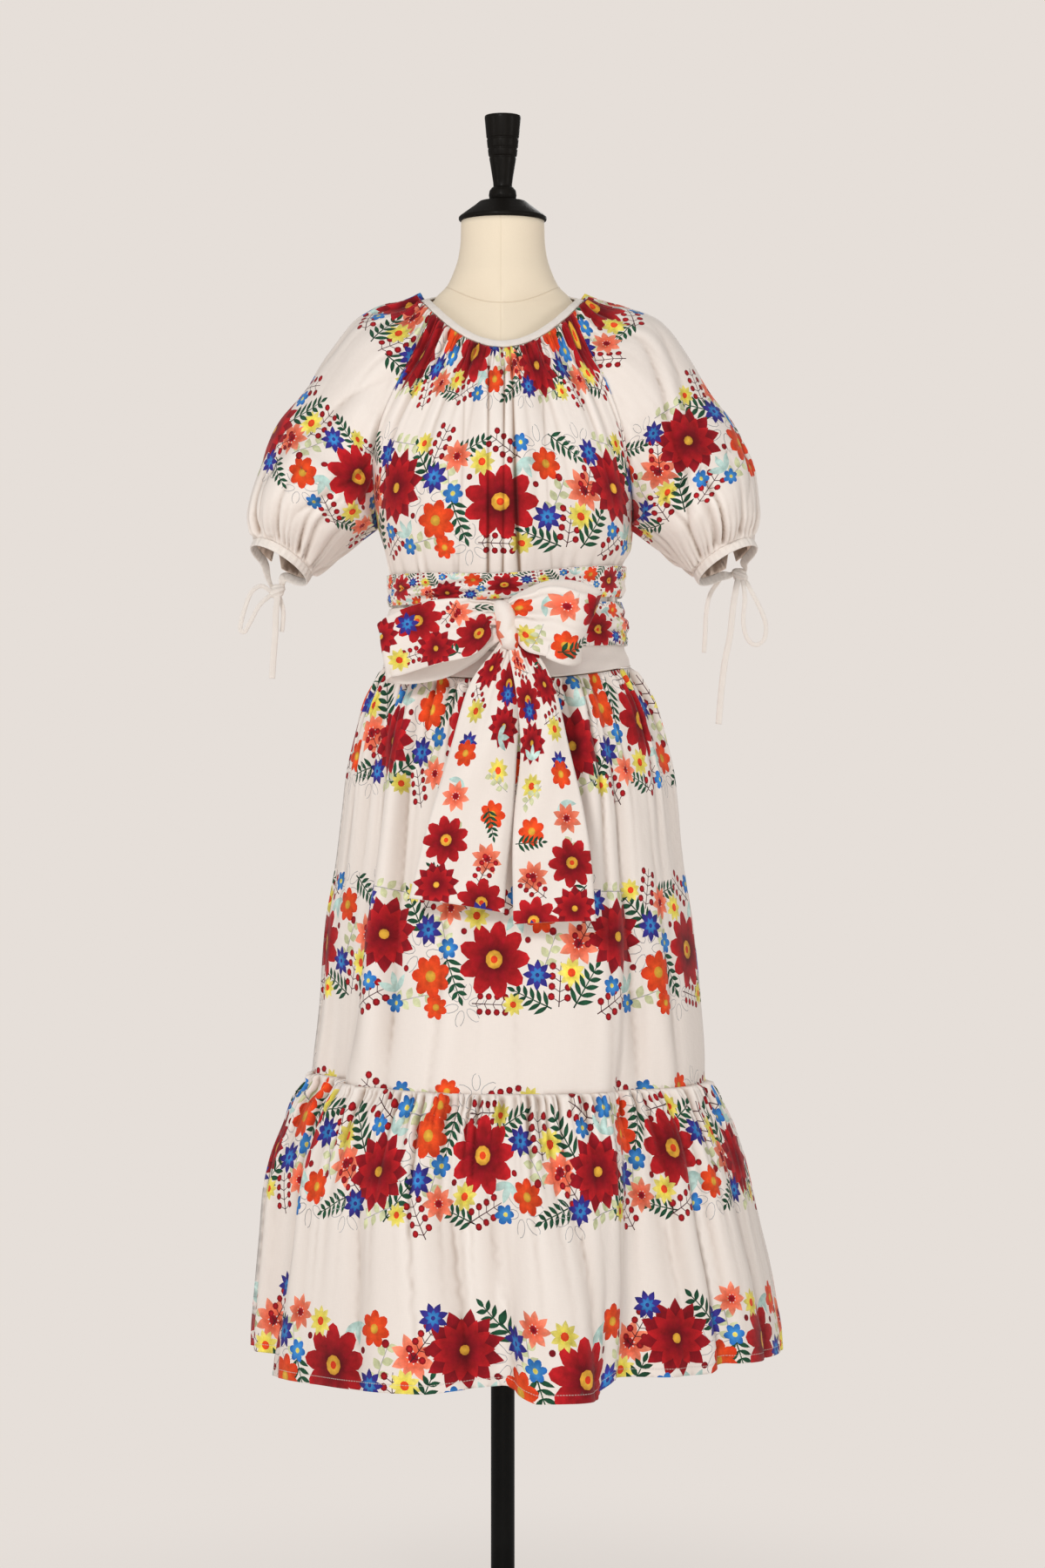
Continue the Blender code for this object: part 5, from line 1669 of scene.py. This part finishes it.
def strip(name, table, shapes, finish, cut_wide, both=False, turn=1, tight_by=0.0055):
    """A double-layer strip of the sash, drawn in where it meets the knot."""
    cols = np.array(table, float).T
    dense = smooth_path(cols[:3].T, 400)
    run = run_along(dense)
    long = run[-1]
    rows = run_along(cols[:3].T)
    rows = rows / rows[-1] * long
    way = unit(np.gradient(dense, axis=0))
    half = lambda v: cut_wide / 2 + 0 * np.asarray(v, float)

    def place(u, v):
        v = np.clip(v, 0, long)
        mid = np.stack([np.interp(v, run, dense[:, k]) for k in range(3)], -1)
        along = unit(np.stack([np.interp(v, run, way[:, k]) for k in range(3)], -1))
        width = curve(v, rows, cols[3])
        lean = np.radians(curve(v, rows, cols[4]))
        belly = curve(v, rows, cols[5])
        up = np.stack([np.sin(lean), 0 * lean, np.cos(lean)], -1)
        up = unit(up - along * np.sum(up * along, -1, keepdims=True))
        out = np.cross(along, up)
        s = u / (cut_wide / 2)
        point = mid + up * (s * width / 2)[..., None]
        return point + out * (belly * (1 - s * s))[..., None]

    def folds(u, v):
        s = u / (cut_wide / 2)
        tight = np.exp(-v / 0.036)
        if both:
            tight = tight + np.exp(-(long - v) / 0.030)
        pinch = (ripples(s + 1.2 * v, 0.46, 2.0 + cut_wide * 40) - 0.3) * tight_by * tight
        soft = 0.0022 * np.sin(3.4 * s + 34 * v + 40 * cut_wide) * (1 - np.clip(0.6 * tight, 0, 1))
        return pinch + soft

    place = lifted(place, folds, turn)
    steps = [(0.0, 0.0026, 0.0026), (0.05, 0.0030, 0.0034), (long, 0.0034, 0.0040)]
    loop = edge_loop(half, long, int(cut_wide / 0.0026), int(long / 0.003))
    made = cloth_panel(name, place, turn, half, long, steps, loop, shapes, finish, DOUBLE_CLOTH)
    return made, long


def sweep(name, centre, wide, thin, closed, finish, sides=12, square=1.0):
    """Sweeps a flattened oval: wide and thin are the half axes along the path."""
    n = len(centre)
    a = 2 * math.pi * (np.arange(sides) + 0.5) / sides
    c = np.sign(np.cos(a)) * np.abs(np.cos(a)) ** square
    s = np.sign(np.sin(a)) * np.abs(np.sin(a)) ** square
    verts = centre[:, None] + wide[:, None] * c[None, :, None] + thin[:, None] * s[None, :, None]
    verts = verts.reshape(-1, 3)
    faces = []
    for i in range(n if closed else n - 1):
        m = (i + 1) % n
        for k in range(sides):
            l = (k + 1) % sides
            faces.append((i * sides + k, i * sides + l, m * sides + l, m * sides + k))
    if not closed:
        faces.append(tuple(range(sides))[::-1])
        faces.append(tuple((n - 1) * sides + k for k in range(sides)))
    obj = link(name, verts, faces, finish)
    return face_out(obj)


def face_out(obj):
    import bmesh

    work = bmesh.new()
    work.from_mesh(obj.data)
    bmesh.ops.recalc_face_normals(work, faces=work.faces)
    work.to_mesh(obj.data)
    work.free()
    return obj


def tie(name, points, width, thick, count, finish, facing=(0, -1, 0)):
    """A flat strand of tape along the given points."""
    path = smooth_path(points, count)
    along = unit(np.gradient(path, axis=0))
    wide = unit(np.cross(along, np.array(facing, float)))
    thin = unit(np.cross(wide, along))
    width = np.full((count, 1), width)
    obj = sweep(name, path, wide * width / 2, thin * thick / 2, False, finish, 12, 0.6)
    return obj, path


def lathe(name, profile, steps, finish):
    a = 2 * math.pi * np.arange(steps) / steps
    verts = []
    rows = []
    for r, z in profile:
        if r == 0:
            rows.append([len(verts)])
            verts.append((0, 0, z))
            continue
        rows.append(list(range(len(verts), len(verts) + steps)))
        verts.extend(zip(r * np.cos(a), r * np.sin(a), np.full(steps, z)))
    faces = []
    for low, high in zip(rows, rows[1:]):
        for k in range(steps):
            m = (k + 1) % steps
            if len(low) == 1:
                faces.append((low[0], high[k], high[m]))
            elif len(high) == 1:
                faces.append((low[k], low[m], high[0]))
            else:
                faces.append((low[k], low[m], high[m], high[k]))
    obj = face_out(link(name, verts, faces, finish))
    obj.data.set_sharp_from_angle(angle=math.radians(35))
    return obj


def rounded(profile, radius=0.0006):
    """The profile with its inner corners eased."""
    out = [profile[0]]
    for a, b, c in zip(profile, profile[1:], profile[2:]):
        a, b, c = (np.array(p) for p in (a, b, c))
        near = min(radius, 0.4 * np.linalg.norm(a - b), 0.4 * np.linalg.norm(c - b))
        p, q = b + unit(a - b) * near, b + unit(c - b) * near
        out += [tuple(p), tuple((p + q + 2 * b) / 4), tuple(q)]
    out.append(profile[-1])
    return [(max(float(r), 0.0), float(z)) for r, z in out]


def knot(name, centre, half, finish, side):
    """A flat knot of tape: one strand laid slantwise over the other."""
    rows, cols = 56, 72
    a = np.linspace(0.02, math.pi - 0.02, rows)[:, None]
    b = (2 * math.pi * np.arange(cols) / cols)[None, :]
    ring = np.sin(a) ** 0.55
    front = np.sign(np.cos(b)) * np.abs(np.cos(b)) ** 0.8, np.sign(np.sin(b)) * np.abs(np.sin(b)) ** 0.8
    lean = np.cos(a) + 0.55 * side * np.cos(b) * ring
    over = 0.16 * step(0.42 - np.abs(lean), 0.0, 0.10) - 0.05 * np.cos(9 * lean)
    x = centre[0] + half[0] * ring * front[0] * (1 + 0.5 * over) - 0.20 * side * half[0] * np.cos(a)
    y = centre[1] + half[1] * ring * front[1] * (1 + 1.6 * over)
    z = centre[2] + half[2] * np.cos(a) + 0 * b
    verts = np.stack([x, y, z], -1).reshape(-1, 3)
    faces = []
    for i in range(rows - 1):
        for j in range(cols):
            k = (j + 1) % cols
            faces.append((i * cols + j, (i + 1) * cols + j, (i + 1) * cols + k, i * cols + k))
    faces.append(tuple(range(cols)))
    faces.append(tuple((rows - 1) * cols + j for j in range(cols))[::-1])
    return face_out(link(name, verts, faces, finish))


def bow_knot(name, shapes, finish):
    """The strip that wraps the bow's middle, drawn slantwise into tight folds."""
    around = KNOT_ROUND
    half = lambda v: around / 2 + 0 * np.asarray(v, float)

    def place(u, v):
        b = 2 * math.pi * u / around
        s = np.clip(v / KNOT_RUN, 0, 1)
        a = 0.12 + (math.pi - 0.24) * s
        lean = 0.9 * np.sin(b)
        crease = 0.11 * (np.abs(np.sin(3.1 * a + 1.5 * lean + 0.4)) ** 0.7 - 0.5)
        crease = crease + 0.03 * np.sin(9 * a + 4 * lean)
        waist = 1 - 0.16 * np.sin(a) ** 4
        ring = np.sin(a) ** 0.65 * waist * (1 + crease)
        x = KNOT[0] + KNOT_HALF[0] * ring * np.sin(b) + 0.013 * (s - 0.5)
        y = KNOT[1] - KNOT_HALF[1] * ring * np.cos(b)
        z = KNOT[2] + KNOT_HALF[2] * np.cos(a) + 0 * b
        return np.stack([x, y, z], -1)

    steps = [(0.0, 0.0014, 0.0014), (KNOT_RUN, 0.0014, 0.0014)]
    loop = edge_loop(half, KNOT_RUN, int(around / 0.0014), int(KNOT_RUN / 0.0014))
    made = cloth_panel(name, place, 1, half, KNOT_RUN, steps, loop, shapes, finish, CLOTH)
    return made


def form_body(name, finish):
    zs, half, front, back, full = FORM_C
    levels = np.unique(np.concatenate([np.linspace(zs[0], zs[-1], 130), zs]))
    phi = np.linspace(0, 2 * math.pi, 128, endpoint=False)
    z, phi = np.meshgrid(levels, phi, indexing="ij")
    s, c = np.sin(phi), np.cos(phi)
    deep = np.where(c > 0, curve(z, zs, front), curve(z, zs, back))
    power = 2 / curve(z, zs, full)
    x = curve(z, zs, half) * np.sign(s) * np.abs(s) ** power
    y = -deep * np.sign(c) * np.abs(c) ** power
    verts = np.stack([x, y, z], -1).reshape(-1, 3)
    n, cols = len(levels), phi.shape[1]
    faces = []
    for i in range(n - 1):
        for j in range(cols):
            k = (j + 1) % cols
            faces.append((i * cols + j, i * cols + k, (i + 1) * cols + k, (i + 1) * cols + j))
    faces.append(tuple(range(cols))[::-1])
    faces.append(tuple((n - 1) * cols + j for j in range(cols)))
    obj = face_out(link(name, verts, faces, finish))
    seam = obj.data.attributes.new("centre_seam", "FLOAT", "POINT")
    seam.data.foreach_set("value", verts[:, 0] + 0.002)
    bowl = 1 - np.clip(np.abs(verts[:, 0]) / COLLAR_HALF, 0, 1) ** 2
    base = COLLAR_Z + bowl * np.where(verts[:, 1] < 0, -COLLAR_DROP, COLLAR_RISE)
    collar = obj.data.attributes.new("neck_seam", "FLOAT", "POINT")
    collar.data.foreach_set("value", verts[:, 2] - base)
    return obj


def neck_binding(name, finish):
    phi = np.linspace(0, 2 * math.pi, 240, endpoint=False)
    way = neck_inward(phi)
    centre = neck(phi) + way * (BINDING_WIDE / 2 + SEAM + 0.0006)
    along = unit(np.roll(centre, -1, 0) - np.roll(centre, 1, 0))
    normal = unit(np.cross(way, along))
    thick = BINDING_THICK / 2 * (1 + 0.12 * np.sin(47 * phi) + 0.10 * np.sin(29 * phi + 1))
    wide = BINDING_WIDE / 2 * (1 + 0.03 * np.sin(23 * phi))
    return sweep(name, centre, way * wide[:, None], normal * thick[:, None], True, finish, 16, 0.75)


def cuff_casing(name, side, finish):
    """The casing round the cuff, its two ends drawn down to the tie's knot."""
    centre, long, back, down = cuff_frame(side)
    count = 200
    t = np.linspace(SLIT_AT + SLIT_WIDE / 2, SLIT_AT + 1 - SLIT_WIDE / 2, count)
    a = 2 * math.pi * t
    ring = centre - long * np.cos(a)[:, None] - back * np.sin(a)[:, None]
    outward = unit(ring - centre)
    ring = ring + down * (CASING_HIGH / 2 + 0.0002)
    knot_at = np.array(TIE_LEFT_KNOT if side < 0 else TIE_RIGHT_KNOT)
    runs = []
    part = np.linspace(0, 0.96, 24)[:, None]
    for end in (ring[0], ring[-1]):
        beside = math.copysign(TIE_KNOT[0] - 0.0010, end[0] - knot_at[0])
        stop = knot_at + (beside, 0.0040, 0.0040)
        runs.append(stop + (end - stop) * part + down * 0.0026 * np.sin(math.pi * part))
    path = np.concatenate([runs[0], ring, runs[1][::-1]])
    outward = np.concatenate([[outward[0]] * 24, outward, [outward[-1]] * 24])
    for line in (path, outward):
        for _ in range(40):
            line[1:-1] = (line[:-2] + 2 * line[1:-1] + line[2:]) / 4
    along = unit(np.gradient(path, axis=0))
    wide = unit(np.cross(along, outward))
    wide = wide * np.sign(np.dot(wide[len(wide) // 2], down))
    narrow = 0.46 + 0.54 * step(part[:, 0], 0.1, 1.0)
    high = np.concatenate([narrow, np.ones(count), narrow[::-1]]) * CASING_HIGH * 0.56
    pucker = 1 + 0.25 * np.sin(np.arange(len(path)) * 0.95) + 0.2 * np.sin(np.arange(len(path)) * 0.6 + 1)
    thin = outward * (CASING_THICK / 2 * pucker)[:, None]
    return sweep(name, path, wide * high[:, None], thin, False, finish, 14, 0.7)


# --------------------------------------------------------------------- making

add_camera()

cotton = printed_cotton("printed_cotton")
hem_cotton = printed_cotton("hemmed_printed_cotton", stitch=0.0088)
tape = cream_tape("cream_tape")
jersey = form_cover("form_cover")
wood = black_wood("black_wood")
metal = black_metal("black_metal")

# The sleeve ties: each strand starts inside its knot, or behind the casing.
BEHIND_CASING = (0.2475, 0.0420, 1.1975)
TIES = [
    # node, points, flat width, thickness, steps, far end, where it starts, loop
    ("tie_left_loop", TIE_LEFT_LOOP, 0.0050, 0.0018, 90, "object", TIE_LEFT_KNOT, True),
    ("tie_left_end", TIE_LEFT_END, 0.0070, 0.0020, 60, "bare", TIE_LEFT_KNOT, False),
    ("tie_left_strand", TIE_LEFT_STRAND, 0.0050, 0.0020, 40, "bare", TIE_LEFT_KNOT, False),
    ("tie_right_loop", TIE_RIGHT_LOOP, 0.0050, 0.0018, 90, "object", TIE_RIGHT_KNOT, True),
    ("tie_right_long_end", TIE_RIGHT_LONG, 0.0070, 0.0020, 80, "bare", TIE_RIGHT_KNOT, False),
    ("tie_right_short_end", TIE_RIGHT_SHORT, 0.0050, 0.0018, 60, "bare", BEHIND_CASING, False),
]
for node, points, wide, thick, count, far_end, root, looped in TIES:
    points = np.array(points, float)
    first = points[0] + 0.7 * (np.array(root) - points[0])
    last = [points[-1] + 0.7 * (np.array(root) - points[-1])] if looped else []
    strand, path = tie(node + "_tape", [first, *points, *last], wide, thick, count, tape)
    settle(strand, "cream_tape", node)
    length = float(run_along(path)[-1])
    tuple(path[0])
    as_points(path[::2])
KNOT_SEEN = (0.0082, 0.0050, 0.0078)
for node, centre, side in (("tie_left_knot", TIE_LEFT_KNOT, -1), ("tie_right_knot", TIE_RIGHT_KNOT, 1)):
    settle(knot(node + "_tape", centre, KNOT_SEEN, tape, side), "cream_tape", node)

# The form and its stand.
settle(form_body("form_torso", jersey), "form_cover", "form_body")
settle(lathe("form_neck_cap", rounded(CAP), 128, wood), "black_wood", "form_cap")
settle(lathe("form_turned_finial", rounded(FINIAL), 72, wood), "black_wood", "form_finial")
POLE = [(0.0, 0.0553), (POLE_R, 0.0553), (POLE_R, 0.8297), (0.0, 0.8297)]
settle(lathe("pole_tube", rounded(POLE, 0.001), 72, metal), "black_metal", "stand_pole")
PLATE = [
    (0.0, 0.0), (BASE_R - 0.002, 0.0), (BASE_R, 0.002), (BASE_R, BASE_THICK - 0.002),
    (BASE_R - 0.002, BASE_THICK), (0.034, BASE_THICK + 0.004), (0.024, 0.020),
    (0.0215, 0.052), (0.0195, 0.055), (0.0, 0.055),
]
settle(lathe("base_plate", rounded(PLATE), 160, metal), "black_metal", "stand_base")

# The dress.
for node, front in (("bodice_front", True), ("bodice_back", False)):
    piece, long = bodice(node + "_cloth", front, cotton)
    settle(piece, "printed_cotton", node)
    round(0.423 * long if front else 0.383 * long, 4)
for node, side in (("sleeve_left", -1), ("sleeve_right", 1)):
    piece, long = sleeve(node + "_cloth", side, cotton)
    settle(piece, "printed_cotton", node)
    round(0.37 * long, 4)
settle(neck_binding("neck_binding_tape", tape), "cream_tape", "neck_binding")
settle(cuff_casing("cuff_casing_left_tape", -1, tape), "cream_tape", "cuff_casing_left")
settle(cuff_casing("cuff_casing_right_tape", 1, tape), "cream_tape", "cuff_casing_right")
for node, front, seed in (("skirt_front", True, 1), ("skirt_back", False, 4)):
    piece, wide = skirt(node + "_cloth", front, seed, cotton)
    settle(piece, "printed_cotton", node)
for node, front, seed in (("flounce_front", True, 2), ("flounce_back", False, 6)):
    piece, wide = flounce(node + "_cloth", front, seed, hem_cotton)
    settle(piece, "printed_cotton", node)
piece = settle(waistband("waistband_cloth", cotton), "printed_cotton", "waistband")

# The sash: two turns, a knot, two loops and two tails.
print_ = Print(31)
print_.band(-0.14, 0.13, 0.026, 0.05, 1, 0.40, 0.46)
upper = sash_wrap("sash_upper_turn", 1.1790, 0.005, 0.034, 0.0034, UPPER_CUT, print_.shapes, cotton, 1.0)
print_ = Print(32)
print_.band(0.10, 0.27, 0.030, 0.0, -1, 0.5, 0.6)
lower = sash_wrap("sash_lower_turn", 1.1340, 0.004, 0.048, 0.0030, LOWER_CUT, print_.shapes, cotton, 2.3)
for piece, node, high in ((upper, "sash_wrap_upper", UPPER_CUT), (lower, "sash_wrap_lower", LOWER_CUT)):
    settle(piece, "printed_cotton", node)
STRIPS = [
    # piece, node, middle line, print's seed, width of the cut, a loop, turn
    ("bow_left_loop", "bow_loop_left", BOW_LOOP_LEFT, 41, LOOP_LEFT_CUT, True, -1),
    ("bow_right_loop", "bow_loop_right", BOW_LOOP_RIGHT, 42, LOOP_RIGHT_CUT, True, 1),
    ("bow_left_tail", "bow_tail_left", TAIL_LEFT, 47, TAIL_LEFT_CUT, False, 1),
    ("bow_right_tail", "bow_tail_right", TAIL_RIGHT, 44, TAIL_RIGHT_CUT, False, 1),
]
for name, node, line, seed, cut, is_loop, turn in STRIPS:
    piece, long = strip(name, line, trail(seed, cut), cotton, cut, is_loop, turn)
    settle(piece, "printed_cotton", node)
knot_cloth = bow_knot("bow_knot_cloth", trail(45, KNOT_ROUND), cotton)
settle(knot_cloth, "printed_cotton", "bow_knot")

# The room.
floor_mesh = bpy.data.meshes.new("floor")
floor_mesh.from_pydata([(-6, -6, 0), (6, -6, 0), (6, 6, 0), (-6, 6, 0)], [], [(0, 1, 2, 3)])
floor = bpy.data.objects.new("floor", floor_mesh)
bpy.context.scene.collection.objects.link(floor)
room = bpy.data.objects.new("backdrop", bpy.data.meshes.new("backdrop"))
bpy.context.scene.collection.objects.link(room)
import bmesh

ball = bmesh.new()
bmesh.ops.create_uvsphere(ball, u_segments=48, v_segments=24, radius=15)
ball.to_mesh(room.data)
ball.free()


def glow(name, fade):
    """Even studio paper; near the stand it also takes soft shadows."""
    finish = Finish(name)
    light = finish.node("ShaderNodeEmission", None, {"Color": (*PAPER, 1), "Strength": 1.0})
    shade = finish.node("ShaderNodeBsdfDiffuse", None, {"Color": (0.80, 0.78, 0.76, 1)})
    near = finish.node("ShaderNodeVectorMath", {"operation": "LENGTH"}, {0: finish.place()}, out=1)
    mixed = finish.node(
        "ShaderNodeMixShader", None, {0: finish.smooth(near, 0.2, 1.0) if fade else 1.0, 1: shade, 2: light}
    )
    if fade:
        half = finish.node("ShaderNodeMixShader", None, {0: 0.72, 1: mixed, 2: light})
        mixed = half
    finish.feed(finish.tree.nodes["Material Output"].inputs["Surface"], mixed)
    return finish.material


floor_mesh.materials.append(glow("floor_paper", True))
room.data.materials.append(glow("backdrop_paper", False))
for thing in (floor, room):
    thing.visible_diffuse = False
    thing.visible_glossy = False
    thing.visible_shadow = False
    thing.visible_transmission = False
floor.visible_diffuse = True

world = bpy.data.worlds.new("studio_air")
world.use_nodes = True
air = world.node_tree.nodes["Background"]
air.inputs["Color"].default_value = (1.0, 0.975, 0.95, 1)
air.inputs["Strength"].default_value = 0.36
bpy.context.scene.world = world
bpy.context.scene.view_settings.view_transform = "Standard"
WARM = (1.0, 0.985, 0.965)
add_light("key_softbox", (-1.2, -4.0, 2.8), (0, 0, 1.35), 0.8, 72, WARM)
add_light("front_fill", (0.4, -4.4, 1.8), (0, 0, 1.5), 1.8, 17, WARM)
add_light("left_fill", (-3.2, -1.7, 1.6), (0, 0, 1.2), 1.2, 10, WARM)
add_light("right_fill", (3.2, -1.7, 1.6), (0, 0, 1.35), 1.2, 16, WARM)
add_light("floor_bounce", (0.1, -2.6, 0.12), (0, 0, 1.25), 1.8, 4, WARM)
add_light("back_softbox", (0.6, 2.8, 2.4), (0, 0, 1.0), 1.5, 34, WARM)
